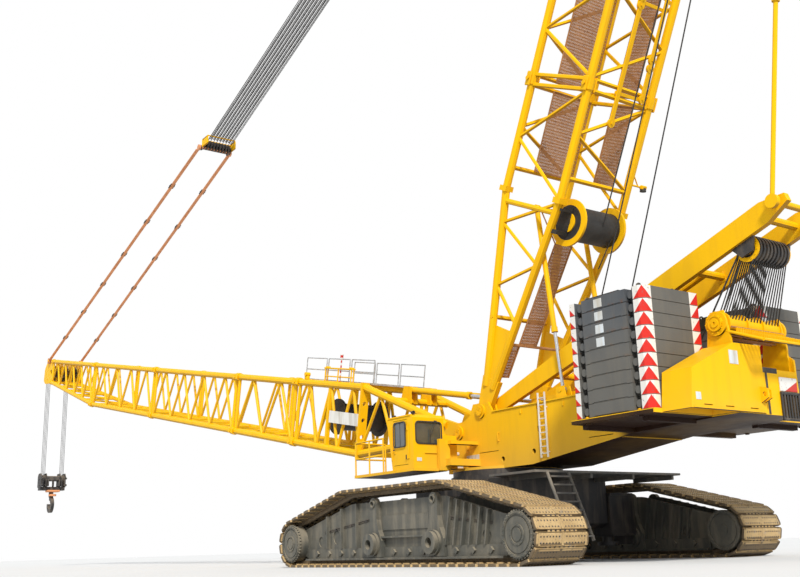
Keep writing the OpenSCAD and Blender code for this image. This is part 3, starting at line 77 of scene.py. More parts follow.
def tilted(foot, rise, hand=1):
    """A frame at a machine place, whose x rises at an angle in degrees from straight ahead.

    A hand of -1 turns it over, so that its y counts to the machine's right.
    """
    turn = math.radians(rise)
    along = (math.cos(turn), 0, math.sin(turn))
    up = (-hand * math.sin(turn), 0, hand * math.cos(turn))
    return Matrix.Translation(at(*foot)) @ Matrix((along, (0, hand, 0), up)).transposed().to_4x4()


def on(axes, s, y, z):
    """A point at millimetres s, y, z of a tilted frame. The mast's y counts to the machine's right."""
    return axes @ Vector((s / 1000, y / 1000, z / 1000))


MAST_FOOT = (-150, 0, 2650)
BOOM_FOOT = (500, 0, 2325)
BOOM_L = 28300
machine = Matrix.Translation(at(0, 0, 0))
boom_axes = tilted(BOOM_FOOT, 10.8)
mast_axes = tilted(MAST_FOOT, 90 + 26, -1)
stay_axes = tilted(MAST_FOOT, 180 - 18.4)
print("boom head at", [round(v, 2) for v in on(boom_axes, BOOM_L, 0, 0)])

# %% [markdown]
# ## Camera
#
# The photograph was taken standing close behind the machine's left rear corner, with the camera low and
# tilted up. The camera was found by fitting its place and angles to about thirty points of the machine.

# %% Camera
CAMERA_AT = (-24.051, 12.279, 0.300)
HEADING = math.radians(35.308)
PITCH = math.radians(14.544)
ROLL = math.radians(-1.695)
LENS = 45.0


def aim_camera():
    """Put the camera where the photograph was taken."""
    forward = Vector((math.cos(HEADING), -math.sin(HEADING), 0))
    right = Vector((-math.sin(HEADING), -math.cos(HEADING), 0))
    up = Vector((0, 0, 1))
    look = forward * math.cos(PITCH) + up * math.sin(PITCH)
    top = up * math.cos(PITCH) - forward * math.sin(PITCH)
    side = right * math.cos(ROLL) + top * math.sin(ROLL)
    top = top * math.cos(ROLL) - right * math.sin(ROLL)
    data = bpy.data.cameras.new("camera")
    data.lens = LENS
    data.sensor_width = 36
    data.clip_end = 500
    camera = bpy.data.objects.new("camera", data)
    turned = Matrix((side, top, -look)).transposed().to_4x4()
    camera.matrix_world = Matrix.Translation(CAMERA_AT) @ turned
    bpy.context.scene.collection.objects.link(camera)
    bpy.context.scene.camera = camera
    return camera


print("camera at", aim_camera().location[:])

# %% [markdown]
# ## Shader sums
#
# Procedural finishes are sums of noise, waves and places. A small class wraps a socket, so that a sum
# of values reads like a formula and adds its Math nodes by itself.

# %% A socket that can be used in sums
def math_of(operation, turned=False):
    """A method that joins a wire and another value by one operation."""

    def method(self, other=0.0):
        pair = (other, self) if turned else (self, other)
        return self.node("Math", dict(enumerate(pair)), operation=operation)

    return method


class Wire:
    """One output of a shader node."""

    def __init__(self, tree, socket=None):
        self.tree = tree
        self.socket = socket

    def node(self, kind, inputs=None, output=0, **settings):
        """Add a node, set it up, feed it numbers or wires, and return one of its outputs."""
        made = self.tree.nodes.new("ShaderNode" + kind)
        for name, value in settings.items():
            setattr(made, name, value)
        for name, value in (inputs or {}).items():
            if isinstance(value, Wire):
                self.tree.links.new(value.socket, made.inputs[name])
            else:
                made.inputs[name].default_value = value
        return Wire(self.tree, made.outputs[output])

    __add__ = __radd__ = math_of("ADD")
    __sub__ = math_of("SUBTRACT")
    __rsub__ = math_of("SUBTRACT", turned=True)
    __mul__ = math_of("MULTIPLY")
    __truediv__ = math_of("DIVIDE")
    __abs__ = math_of("ABSOLUTE")
    fraction = math_of("FRACT")
    over = math_of("GREATER_THAN")
    largest = math_of("MAXIMUM")

    def above(self, edge, soft=0.0):
        """1 where the value is over the edge and 0 under it, with a soft change between."""
        if soft == 0:
            return self.over(edge)
        fed = {"Value": self, "From Min": edge - soft, "From Max": edge + soft}
        return self.node("MapRange", fed, interpolation_type="SMOOTHSTEP")

    def between(self, shade_a, shade_b):
        """A colour that goes from the first to the second as the value goes from 0 to 1."""
        fed = {0: self, 6: colour(shade_a), 7: colour(shade_b)}
        return self.node("Mix", fed, 2, data_type="RGBA")


def colour(shade):
    """A colour as a socket takes it."""
    return shade if isinstance(shade, Wire) else (*shade, 1)

# %% Noise, places and the finished shader
def noise(place, scale, detail=4.0, rough=0.55, stretch=None):
    """Cloudy noise, its centre near 0.5, with its grain drawn out where stretch says so."""
    if stretch:
        place = place.node("Mapping", {"Vector": place, "Scale": stretch})
    fed = {"Vector": place, "Scale": scale, "Detail": detail, "Roughness": rough}
    return place.node("TexNoise", fed)


def split(place):
    """The x, y and z of a place."""
    return [place.node("SeparateXYZ", {0: place}, i) for i in range(3)]


def outlook(place):
    """The x, y and z of the way that a face looks."""
    return split(place.node("NewGeometry", output="Normal"))


def new_finish(name):
    """The place on the piece, as the patterns of a new material read it."""
    material = bpy.data.materials.new(name)
    material.use_nodes = True
    return Wire(material.node_tree).node("TexCoord", output="Object")


def finish(place, shade, rough, metal=0.0, height=None, depth=0.02, **fixed):
    """Feed the shader: what varies is linked, what is the same all over is set."""
    shader = place.tree.nodes["Principled BSDF"]
    values = {"Base Color": shade, "Roughness": rough, "Metallic": metal}
    if height is not None:
        fed = {"Height": height, "Distance": depth, "Strength": 0.6}
        values["Normal"] = height.node("Bump", fed)
    for name, value in values.items():
        if isinstance(value, Wire):
            place.tree.links.new(value.socket, shader.inputs[name])
        else:
            shader.inputs[name].default_value = colour(value) if name == "Base Color" else value
    for name, value in fixed.items():
        shader.inputs[name.replace("_", " ")].default_value = value


# %% [markdown]
# ## Yellow paint
#
# The superstructure, the boom and the mast are painted a warm machine yellow. Sun has faded it in
# clouds, rain has left faint upright streaks, dust lies on the lower parts, and small chips show a
# brown primer. Painted shade darkens the faces that look down: a little on the lattice, and so much
# under the turntable, the ballast tray and the cab that they are nearly black. Under the tail and along
# the tray's edge, the painted shadow is also set by place. Streaks are noise that is drawn
# out along Z.

# %% Yellow paint
FRESH = (0.94, 0.52, 0.001)
FADED = (0.90, 0.50, 0.004)
DUST = (0.42, 0.33, 0.22)
PRIMER = (0.16, 0.06, 0.025)
# Painted shade colours for the faces that look down: dark brown on the lattice, nearly black on the belly.
UNDERSIDE_SHADE = (0.16, 0.055, 0.008)
BELLY_SHADE = (0.022, 0.009, 0.005)
TRAY_X = at(-3500, 0, 0).x
TAIL_X = at(-5172, 0, 0).x


def yellow_paint(name, under, shade_depth, tail=False):
    place = new_finish(name)
    x, y, z = split(place)
    clouds = noise(place, 0.7, 3)
    streaks = noise(place, 5, 5, stretch=(1, 1, 0.12))
    shade = clouds.above(0.52, 0.16).between(FRESH, FADED)
    shade = (streaks.above(0.56, 0.1) * 0.09).between(shade, (0.34, 0.16, 0.03))
    dusty = (1 - z.above(1.9, 0.7)) * clouds.above(0.42, 0.2) * 0.22
    shade = dusty.between(shade, DUST)
    # Painted shade: faces that look down are darkened towards the shade colour, by an amount that varies
    # with the clouds.
    shade_mask = (0 - outlook(place)[2]).above(0.55, 0.3)
    # Painted shadow set by place: behind 3.5 m aft of the axis, everything below 1.945 m, and the ballast
    # tray's edge below 2.0 m.
    if tail:
        tray_shadow = x.above(TAIL_X) * (1 - z.above(2.0))
        below = (1 - x.above(TRAY_X, 0.15)) * (1 - z.above(1.945)).largest(tray_shadow)
        shade_mask = shade_mask.largest(below)
    shade = (shade_mask * (shade_depth + clouds * 0.3)).between(shade, under)
    chips = noise(place, 26, 6, 0.7).above(0.735, 0.01) * noise(place, 3).above(0.5, 0.08)
    shade = chips.between(shade, PRIMER)
    rough = 0.40 + streaks * 0.16 + dusty * 0.5
    height = noise(place, 60, 3) * 0.06 - chips * 0.5
    finish(place, shade, rough, height=height, depth=0.004, Specular_IOR_Level=0.16)


# The lattice gets a little painted shade under it. The turntable, tray and cab get nearly black painted
# shade.
yellow_paint("yellow_paint", UNDERSIDE_SHADE, 0.5)
yellow_paint("belly_shade_paint", BELLY_SHADE, 0.84, tail=True)
print("made the yellow for the lattice and the one with a dark belly for the turntable")

# %% [markdown]
# ## Crawler paint, dusty shoes and dark steel
#
# The crawler frames were olive grey, and fine tan dust has settled on every ledge. The shoes are bare
# steel that has ground itself bright on the edges and holds dust in between. The carbody is nearly
# black. Dust follows the upward side of each face, which the Normal's Z tells. The ends of the shoes and
# what looks down into the track get painted shade, nearly black.

# %% Finishes of the undercarriage
def dusted_paint(name, paint, dust, amount):
    place = new_finish(name)
    clouds = noise(place, 1.6, 5, 0.62)
    fine = noise(place, 22, 6, 0.7)
    lying = (outlook(place)[2] * 0.8 + clouds * 0.9 + fine * 0.35).above(1.05 - amount, 0.45)
    runs = noise(place, 6, 4, stretch=(1, 1, 0.15))
    shade = fine.between(paint, [v * 0.62 for v in paint])
    shade = (runs.above(0.56, 0.1) * 0.35).between(shade, dust)
    shade = (lying * 0.85).between(shade, dust)
    finish(place, shade, 0.55 + lying * 0.3, height=fine * 0.3 + lying * 0.3, depth=0.005)


def shoe_steel(name):
    place = new_finish(name)
    clouds = noise(place, 2.2, 5, 0.65)
    fine = noise(place, 35, 6, 0.7)
    shade = clouds.above(0.5, 0.2).between((0.43, 0.29, 0.13), (0.60, 0.43, 0.21))
    shade = (fine.above(0.6, 0.08) * 0.6).between(shade, (0.10, 0.075, 0.055))
    worn = noise(place, 9, 4).above(0.66, 0.05)
    shade = (worn * 0.5).between(shade, (0.45, 0.42, 0.38))
    x, y, z = outlook(place)
    # Painted shade: the shoes' ends and the faces that look down into the track are darkened nearly to
    # black.
    shaded_faces = abs(y).above(0.6, 0.2).largest((0 - z).above(0.5, 0.25))
    shade = (shaded_faces * (0.6 + clouds * 0.4)).between(shade, (0.050, 0.040, 0.032))
    finish(place, shade, 0.62 + fine * 0.25, metal=worn * 0.6, height=fine, depth=0.006)


dusted_paint("olive_paint", (0.085, 0.088, 0.076), (0.30, 0.26, 0.19), 0.20)
dusted_paint("dark_paint", (0.022, 0.022, 0.024), (0.20, 0.16, 0.12), 0.12)
dusted_paint("deck_paint", (0.10, 0.10, 0.10), (0.30, 0.26, 0.20), 0.25)
shoe_steel("shoe_steel")
print("undercarriage finishes made")

# %% [markdown]
# ## Ballast slabs
#
# Each stack is nine steel slabs of dark blue grey with a keyed joint line, rain marks and rust around
# the seams. The outer corners carry white strips with a red triangle on every slab. The strips are
# paint, so they are drawn in the finish: the distance round a corner and the height within a slab
# say where the triangle is.

# %% Slab finish with the corner triangles
STACK_X = (-3665, -5150)
STACK_Y = (725, 1880)
STACK_Z = 2010
SLAB_H = 190
SLAB_N = 9
STRIP = 0.178


def slab_paint(name):
    place = new_finish(name)
    x, y, z = split(place)
    clouds = noise(place, 1.3, 5)
    runs = noise(place, 7, 5, stretch=(1, 1, 0.1))
    shade = clouds.above(0.5, 0.2).between((0.060, 0.068, 0.078), (0.105, 0.112, 0.12))
    shade = (runs.above(0.57, 0.09) * 0.4).between(shade, (0.17, 0.15, 0.125))
    within = ((z - STACK_Z / 1000) / (SLAB_H / 1000)).fraction()
    seam = 1 - within.above(0.05, 0.015)
    shade = (seam * 0.8).between(shade, (0.012, 0.011, 0.010))
    rust = noise(place, 11, 5).above(0.6, 0.07) * (1 - within.above(0.2, 0.2))
    shade = (rust * 0.7).between(shade, (0.15, 0.065, 0.03))
    # Painted light: the stack's rear face, where the sun falls, is lightened to a tan grey. Below 3.1 m
    # the slabs are lightened the same way.
    lit_rear = 1 - x.above(at(STACK_X[1] + 40, 0, 0).x, 0.01)
    lightened = (1 - z.above(3.1, 0.5)).largest(lit_rear)
    shade = (lightened * (0.35 + clouds * 0.5)).between(shade, (0.155, 0.145, 0.12))
    strip = red = z * 0
    for i, j in ((0, 1), (1, 1), (1, 0)):
        run_x = (x - at(STACK_X[i], 0, 0).x) * (2 * i - 1)
        run_y = (abs(y) - STACK_Y[j] / 1000) * (1 - 2 * j)
        near = 1 - run_x.largest(run_y).above(STRIP, 0.001)
        across = abs(run_x - run_y) / STRIP
        under_slope = 1 - (across + within * 1.02 - 1.02).above(0, 0.02)
        strip = strip.largest(near)
        red = red.largest(near * under_slope * within.above(0.055, 0.008))
    worn = noise(place, 18, 5, 0.7).above(0.63, 0.04)
    strip = strip * (1 - worn * 0.6) * (1 - seam)
    shade = strip.between(shade, red.between((0.78, 0.75, 0.70), (0.62, 0.022, 0.014)))
    height = noise(place, 40, 5) * 0.25 - seam
    finish(place, shade, 0.5 + clouds * 0.25, height=height, depth=0.006, Specular_IOR_Level=0.25)


slab_paint("slab_paint")
print("slab finish made")

# %% [markdown]
# ## Smaller finishes
#
# Off-white paint, tinted glass, black rubber and plastic, greasy rope, orange primer, ground chrome
# and galvanised steel. Each one has the marks of its own trade: zinc flowers on the galvanised rails,
# drawn-out grinding marks on the chrome, grease and strands on the ropes.

# %% Smaller finishes
def white_paint(name, clean=(0.78, 0.77, 0.72)):
    place = new_finish(name)
    runs = noise(place, 7, 5, stretch=(1, 1, 0.12))
    shade = runs.above(0.55, 0.14).between(clean, (0.50, 0.46, 0.38))
    shade = noise(place, 30, 6, 0.7).above(0.72, 0.015).between(shade, (0.12, 0.09, 0.07))
    finish(place, shade, 0.42 + runs * 0.2, height=noise(place, 70), depth=0.001)


def tinted_glass(name):
    place = new_finish(name)
    dust = noise(place, 3, 5).above(0.5, 0.3)
    shade = dust.between((0.030, 0.045, 0.050), (0.085, 0.095, 0.095))
    finish(place, shade, 0.04 + dust * 0.12, Coat_Weight=0.6, Specular_IOR_Level=0.8)


def rubber(name):
    place = new_finish(name)
    fine = noise(place, 90, 4)
    shade = noise(place, 5).above(0.5, 0.3).between((0.02, 0.02, 0.02), (0.048, 0.044, 0.04))
    finish(place, shade, 0.55 + fine * 0.25, height=fine, depth=0.002)


def greasy_rope(name):
    place = new_finish(name)
    fed = {"Vector": place, "Scale": 26.0, "Distortion": 0.6}
    strands = place.node("TexWave", fed, "Fac", bands_direction="DIAGONAL")
    grease = noise(place, 4, 4)
    shade = strands.between((0.010, 0.010, 0.010), (0.045, 0.043, 0.041))
    shade = (grease.above(0.55, 0.1) * 0.6).between(shade, (0.014, 0.013, 0.012))
    finish(place, shade, 0.45 + grease * 0.3, metal=0.15, height=strands, depth=0.003)


def primer_paint(name):
    place = new_finish(name)
    clouds = noise(place, 3, 5)
    shade = clouds.above(0.5, 0.2).between((0.72, 0.31, 0.13), (0.58, 0.24, 0.10))
    rust = noise(place, 16, 6).above(0.62, 0.06)
    shade = (rust * 0.4).between(shade, (0.22, 0.085, 0.04))
    finish(place, shade, 0.5 + clouds * 0.2, height=noise(place, 45), depth=0.003)


def ground_chrome(name):
    place = new_finish(name)
    marks = noise(place, 40, 4, stretch=(6, 1, 1))
    shade = marks.between((0.42, 0.43, 0.45), (0.62, 0.63, 0.65))
    finish(place, shade, 0.14 + marks * 0.16, metal=0.95, height=marks, depth=0.001)


def zinc(name):
    place = new_finish(name)
    tone = split(place.node("TexVoronoi", {"Vector": place, "Scale": 34.0}, "Color"))[0]
    stain = noise(place, 5, 5).above(0.56, 0.1)
    shade = tone.between((0.40, 0.41, 0.42), (0.60, 0.61, 0.62))
    shade = (stain * 0.4).between(shade, (0.30, 0.26, 0.21))
    finish(place, shade, 0.36 + tone * 0.2, metal=0.7, height=tone, depth=0.001)


white_paint("white_paint")
white_paint("pale_plate", (0.66, 0.72, 0.76))
tinted_glass("tinted_glass")
rubber("black_rubber")
greasy_rope("greasy_rope")
primer_paint("primer_paint")
ground_chrome("ground_chrome")
zinc("zinc")
FINISH = {
    "yellow": "yellow_paint", "grey": "olive_paint", "dark": "dark_paint", "deck": "deck_paint",
    "shoe": "shoe_steel", "slab": "slab_paint", "white": "white_paint", "glass": "tinted_glass",
    "trim": "black_rubber", "rope": "greasy_rope", "pendant": "primer_paint",
    "rod": "ground_chrome", "galv": "zinc",
}
print("finishes", len(bpy.data.materials))

# %% Paint the imported nodes
# Nodes that take the yellow with the nearly black painted shade underneath.
BELLY_SHADE_NODES = ("turntable", "ballast_bracket", "winch_frame", "cab_shell", "cab_platform", "cab_door")
for part in frame["record"]["subparts"]:
    name = "belly_shade_paint" if part["node"] in BELLY_SHADE_NODES else FINISH[part["material_slot"]]
    for holder in frame["nodes"][part["node"]].material_slots:
        holder.material = bpy.data.materials[name]

# %% [markdown]
# ## Blocks, rods and copies
#
# Three helpers make nearly all the added pieces. A block is a cube that is sized and gets its edges
# broken. A rod is a disc that is extruded to its length and then laid between two points. What repeats
# is made once and copied, and all the parts of a piece are joined and ride on one body.

# %% Making, copying and joining
def clear_selection():
    if bpy.context.object and bpy.context.object.mode != "OBJECT":
        bpy.ops.object.mode_set(mode="OBJECT")
    bpy.ops.object.select_all(action="DESELECT")


def select(parts):
    """Select some parts alone, with the first of them active."""
    clear_selection()
    for part in parts:
        part.select_set(True)
    bpy.context.view_layer.objects.active = parts[0]


def edit_all():
    """Go into edit mode with everything selected."""
    bpy.ops.object.mode_set(mode="EDIT")
    bpy.ops.mesh.select_all(action="SELECT")


def lay(placed):
    """Leave edit mode and move the active part to its place."""
    bpy.ops.object.mode_set(mode="OBJECT")
    made = bpy.context.object
    made.matrix_world = placed
    bpy.ops.object.transform_apply()
    return made


def pull_up(height, placed):
    """Give the flat shape in edit mode a height, and move it to its place."""
    bpy.ops.mesh.select_all(action="SELECT")
    bpy.ops.mesh.extrude_region_move(TRANSFORM_OT_translate={"value": (0, 0, height)})
    bpy.ops.mesh.select_all(action="SELECT")
    bpy.ops.mesh.normals_make_consistent(inside=False)
    return lay(placed)


def block(low, high, edge=4, axes=machine):
    """A block between two corners in millimetres of a frame, with its edges broken."""
    clear_selection()
    bpy.ops.mesh.primitive_cube_add(size=1)
    size = [abs(b - a) / 1000 for a, b in zip(low, high)]
    middle = Vector([(a + b) / 2000 for a, b in zip(low, high)])
    made = lay(axes @ Matrix.Translation(middle) @ Matrix.Diagonal((*size, 1)))
    if edge:
        edit_all()
        bpy.ops.mesh.bevel(offset=edge / 1000, segments=1, affect="EDGES")
        bpy.ops.object.mode_set(mode="OBJECT")
    return made


def disc(radius, sides):
    """Start a flat disc of a radius in millimetres, in edit mode."""
    clear_selection()
    bpy.ops.mesh.primitive_circle_add(vertices=sides, radius=radius / 1000, fill_type="NGON")
    edit_all()


def rod(start, end, radius, sides=8):
    """A round bar of a radius in millimetres between two points of the frame."""
    disc(radius, sides)
    run = Vector(end) - Vector(start)
    turned = run.to_track_quat("Z", "X").to_matrix().to_4x4()
    made = pull_up(run.length, Matrix.Translation(start) @ turned)
    if sides > 7:
        bpy.ops.object.shade_smooth_by_angle(angle=math.radians(40))
    return made


def bar(start, end, radius, sides=8, axes=machine):
    """A rod between two places in millimetres of a frame."""
    return rod(on(axes, *start), on(axes, *end), radius, sides)


def copy_of(made, moved):
    """A copy with its own mesh, moved by a matrix of the frame."""
    twin = made.copy()
    twin.data = made.data.copy()
    twin.data.transform(moved)
    bpy.context.scene.collection.objects.link(twin)
    return twin


def join(parts):
    """Join parts into the first one."""
    select(parts)
    if len(parts) > 1:
        bpy.ops.object.join()
    return parts[0]


def piece(name, parts, body, slot, material=None):
    """Join parts into one piece that rides on a body and takes a slot's finish."""
    joined = join(parts)
    joined.name = name
    joined.data.name = name
    joined.data.materials.clear()
    joined.data.materials.append(bpy.data.materials[material or FINISH[slot]])
    if body:
        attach(joined, body)
    print(name, len(joined.data.polygons), "faces")
    return joined


# %% [markdown]
# ## Track shoes
#
# Each crawler runs on 68 wide shoes. A real shoe is a thick plate with cut corners, a bolted link in
# the middle and rows of small bolt heads. One shoe is modelled lying flat and is then copied round the
# track's path, which is four arcs joined by tangents.

# %% The track's path
TUMBLER_X, TRACK_R, TRACK_TOP, TRACK_FLAT, TRACK_BEND = 3250, 435, 1325, 1300, 900
SHOE_N = 68
SHOE_SAG = 13
GAUGE = 4500
FLAT = Matrix.Identity(4)


def track_path():
    """Places of the shoes, as x and z in millimetres and an angle, and the shoes' pitch."""
    bend_z = TRACK_TOP - TRACK_BEND
    gap_x = TUMBLER_X - TRACK_FLAT
    reach = math.hypot(gap_x, TRACK_R - bend_z)
    up, under = math.pi / 2, 1.5 * math.pi
    lean = math.atan2(bend_z - TRACK_R, gap_x)
    ramp = up - lean - math.asin((TRACK_BEND - TRACK_R) / reach)
    ramp_l = math.sqrt(reach**2 - (TRACK_BEND - TRACK_R) ** 2)
    wheel_arc = TRACK_R * (ramp + up)
    bend_arc = TRACK_BEND * (up - ramp)
    front, back = (TUMBLER_X, TRACK_R, TRACK_R), (-TUMBLER_X, TRACK_R, TRACK_R)
    near, far = (TRACK_FLAT, bend_z, TRACK_BEND), (-TRACK_FLAT, bend_z, TRACK_BEND)
    runs = [
        # length, circle at the start and at the end, angle at the start and at the end
        (wheel_arc, front, front, -up, ramp),
        (ramp_l, front, near, ramp, ramp),
        (bend_arc, near, near, ramp, up),
        (2 * TRACK_FLAT, near, far, up, up),
        (bend_arc, far, far, up, math.pi - ramp),
        (ramp_l, far, back, math.pi - ramp, math.pi - ramp),
        (wheel_arc, back, back, math.pi - ramp, under),
        (2 * TUMBLER_X, back, front, under, under),
    ]
    total = sum(run[0] for run in runs)
    shoes = []
    for i in range(SHOE_N):
        s = (i + 0.5) * total / SHOE_N
        k = 0
        while s > runs[k][0]:
            s -= runs[k][0]
            k += 1
        length, first, last, turn_a, turn_b = runs[k]
        x, z, r = (a + (b - a) * s / length for a, b in zip(first, last))
        turn = turn_a + (turn_b - turn_a) * s / length
        if first in (front, back) and first is last:
            r -= SHOE_SAG
        shoes.append((x + r * math.cos(turn), z + r * math.sin(turn), turn))
    return shoes, total / SHOE_N


shoe_places, SHOE_PITCH = track_path()
print("shoe pitch", round(SHOE_PITCH, 1), "mm")


# %% One shoe, and its copies round both tracks
def one_shoe(middle):
    """A shoe whose outer face is at z = 0, with the inside of the track below it."""
    half = SHOE_PITCH * 0.42
    plate = block((-half, middle - 500, -44), (half, middle + 500, -2), 0, FLAT)
    for edge in plate.data.edges:
        a, b = (plate.data.vertices[v].co for v in edge.vertices)
        edge.select = abs(a.x - b.x) < 1e-6 and abs(a.y - b.y) < 1e-6
    bpy.ops.object.mode_set(mode="EDIT")
    bpy.ops.mesh.bevel(offset=0.042, segments=2, affect="EDGES")
    bpy.ops.object.mode_set(mode="OBJECT")
    link = SHOE_PITCH / 2 + 12
    rows = [
        # x from and to, middle and half of y, z from and to, broken edge
        (half - 20, half, 0, 470, -66, -44, 0),
        (-link, link, 0, 285, -64, -22, 8),
        (-half - 22, half + 22, -210, 42, -128, -60, 12),
        (-half - 22, half + 22, 210, 42, -128, -60, 12),
        (-half * 0.5, half * 0.5, 0, 60, -118, -60, 14),
    ]
    rows += [(-half + 8, half - 8, y, 20, -2, 0, 0) for y in (-440, 0, 440)]
    parts = [plate]
    for x0, x1, y, wide, z0, z1, edge in rows:
        parts.append(block((x0, middle + y - wide, z0), (x1, middle + y + wide, z1), edge, FLAT))
    return join(parts)


def shoe_bolts(middle):
    """The bolts of one shoe: two rows through the plate and two rows through the tongue."""
    spots = [(x, side * (70 + i * 58), -3, 2, 13) for x in (-54, 34) for i in range(7) for side in (-1, 1)]
    spots += [(SHOE_PITCH / 2, -220 + i * 88, -23, -11, 16) for i in range(6)]
    return join([bar((x, middle + y, z0), (x, middle + y, z1), r, 5, FLAT) for x, y, z0, z1, r in spots])


def laid_round(pattern):
    """Copies of a part at every shoe's place, and the pattern itself is dropped."""
    copies = []
    for x, z, turn in shoe_places:
        laid = Matrix.Translation(at(x, 0, z)) @ Matrix.Rotation(math.pi / 2 - turn, 4, "Y")
        copies.append(copy_of(pattern, laid))
    bpy.data.objects.remove(pattern)
    return copies


for middle, label in ((GAUGE / 2, "left"), (-GAUGE / 2, "right")):
    shoes = piece("shoes_" + label, laid_round(one_shoe(middle)), "undercarriage", "shoe")
    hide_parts("track_" + label)
    piece("shoe_bolts_" + label, laid_round(shoe_bolts(middle)), "undercarriage", "dark")

# %% [markdown]
# ## Rows and rings
#
# Bars of a grating, rungs and bolts stand in rows, and an Array modifier with a fixed step makes a row
# from one part. Rings are rims, flanges and seals: a disc is inset, its middle is deleted, and what
# is left is extruded to its thickness.

# %% Rows, rings and walls
def step(axes, s, y, z):
    """A distance in millimetres of a tilted frame, as a direction of the model's frame."""
    return axes.to_3x3() @ Vector((s / 1000, y / 1000, z / 1000))


def row(made, count, moved):
    """A row of a part, each one moved on from the last."""
    select([made])
    array = made.modifiers.new("row", "ARRAY")
    array.count = count
    array.use_relative_offset = False
    array.use_constant_offset = True
    array.constant_offset_displace = moved
    bpy.ops.object.modifier_apply(modifier=array.name)
    return made


def facing(centre, out):
    """A frame at a point whose z looks out of a face and whose y is as upright as it can be."""
    turned = Vector(out).to_track_quat("Z", "Y").to_matrix().to_4x4()
    return Matrix.Translation(centre) @ turned


def ring(centre, out, inner, outer, proud, sides=32):
    """A flat ring in millimetres that stands proud of a face."""
    disc(outer, sides)
    bpy.ops.mesh.inset(thickness=(outer - inner) / 1000 * math.cos(math.pi / sides))
    bpy.ops.mesh.delete(type="FACE")
    made = pull_up(proud / 1000, facing(centre, out))
    bpy.ops.object.shade_smooth_by_angle(angle=math.radians(35))
    return made


def frame_round(centre, out, width, height, band, proud, corner):
    """A frame with rounded corners round a window, standing proud of its wall."""
    clear_selection()
    bpy.ops.mesh.primitive_plane_add(size=1)
    bpy.context.object.scale = ((width + 2 * band) / 1000, (height + 2 * band) / 1000, 1)
    bpy.ops.object.transform_apply()
    edit_all()
    bpy.ops.mesh.bevel(offset=(corner + band) / 1000, segments=4, affect="VERTICES")
    bpy.ops.mesh.select_all(action="SELECT")
    bpy.ops.mesh.inset(thickness=band / 1000)
    bpy.ops.mesh.delete(type="FACE")
    return pull_up(proud / 1000, facing(centre, out))


def around(made, centre, axis, count):
    """Copies of a part turned round an axis through a point. The first one is the part itself."""
    parts = [made]
    for i in range(1, count):
        turn = Matrix.Rotation(2 * math.pi * i / count, 4, axis)
        parts.append(copy_of(made, Matrix.Translation(centre) @ turn @ Matrix.Translation(-centre)))
    return parts


# %% [markdown]
# ## Wheel covers
#
# The end wheels are closed by flat covers. Each one has a toothed rim, where the chain's teeth pass, a
# ring of bolts and a smaller cap in the middle. One tooth and one bolt are modelled and turned round.

# %% Wheel covers
WHEEL_Y = 2742
parts = []
for side in (1, -1):
    for x in (-TUMBLER_X, TUMBLER_X):
        centre = at(x, side * (WHEEL_Y - 22), TRACK_R)
        y0, y1 = side * (WHEEL_Y - 60), side * (WHEEL_Y - 24)
        tooth = block((x + 316, y0, TRACK_R - 17), (x + 350, y1, TRACK_R + 17), 7)
        parts += around(tooth, centre, "Y", 36)
        for inner, outer, proud, sides in ((286, 322, 14, 48), (118, 150, 18, 32), (8, 96, 12, 32)):
            parts.append(ring(centre, (0, side, 0), inner, outer, proud, sides))
        for radius, below, bolt_r, count in ((302, 12, 9, 30), (134, 8, 8, 12)):
            start = (x + radius, side * (WHEEL_Y - below), TRACK_R)
            end = (x + radius, side * (WHEEL_Y + 4), TRACK_R)
            parts += around(bar(start, end, bolt_r, 6), centre, "Y", count)
piece("wheel_covers", parts, "undercarriage", "grey")

# %% [markdown]
# ## Crawler side fittings
#
# Pairs of grease lines run along the webs of the crawler frames. Each line is a thin rod, and small
# blocks clip it to the web at even distances.

# %% Crawler side fittings
GREASE_Y = 2530
GREASE_RUNS = (((-2500, 640), (-1420, 760)), ((760, 800), (2300, 620)))
CLIP_N = 6
parts = []
for side in (1, -1):
    y = side * GREASE_Y
    for (x0, z0), (x1, z1) in GREASE_RUNS:
        for drop in (0, 26):
            parts.append(bar((x0, y, z0 - drop), (x1, y, z1 - drop), 6, 6))
        for i in range(CLIP_N):
            t = (i + 0.5) / CLIP_N
            x, z = x0 + (x1 - x0) * t, z0 + (z1 - z0) * t
            parts.append(block((x - 18, y - side * 30, z - 40), (x + 18, y + side * 12, z + 14), 4))
piece("grease_lines", parts, "undercarriage", "dark")

# %% [markdown]
# ## Mast gratings
#
# Brown mesh walkways lie along the inside of the mast's front face, so a rigger can climb it when it is
# laid down. They are what makes the mast look half closed from below. Each panel is a frame of flat
# bars with close bars along it and thin bars across it, each set made by one row.

# %% Brown mesh finish
def mesh_shade_finish(name):
    place = new_finish(name)
    # The brown is the mesh as it looks in shade, painted into its colour. The darker spots are marks on
    # the mesh.
    clouds = noise(place, 2.5, 4)
    shade = clouds.between((0.34, 0.15, 0.05), (0.46, 0.24, 0.10))
    shade = (noise(place, 24, 5).above(0.6, 0.06) * 0.6).between(shade, (0.13, 0.05, 0.022))
    finish(place, shade, 0.7, height=clouds, depth=0.002)


mesh_shade_finish("mesh_brown_shade")

# %% Mast gratings
GRATING_Z = 680
SIDE_Z = -690
GRATING_Y = (-225, 690)
SIDE_Y = (-430, 60)
PANELS = ((4430, 5900), (6080, 8480), (8540, 10900), (11080, 13480), (13540, 15900), (16080, 17700))
STRIP_STEP, CROSS_STEP = 27, 56


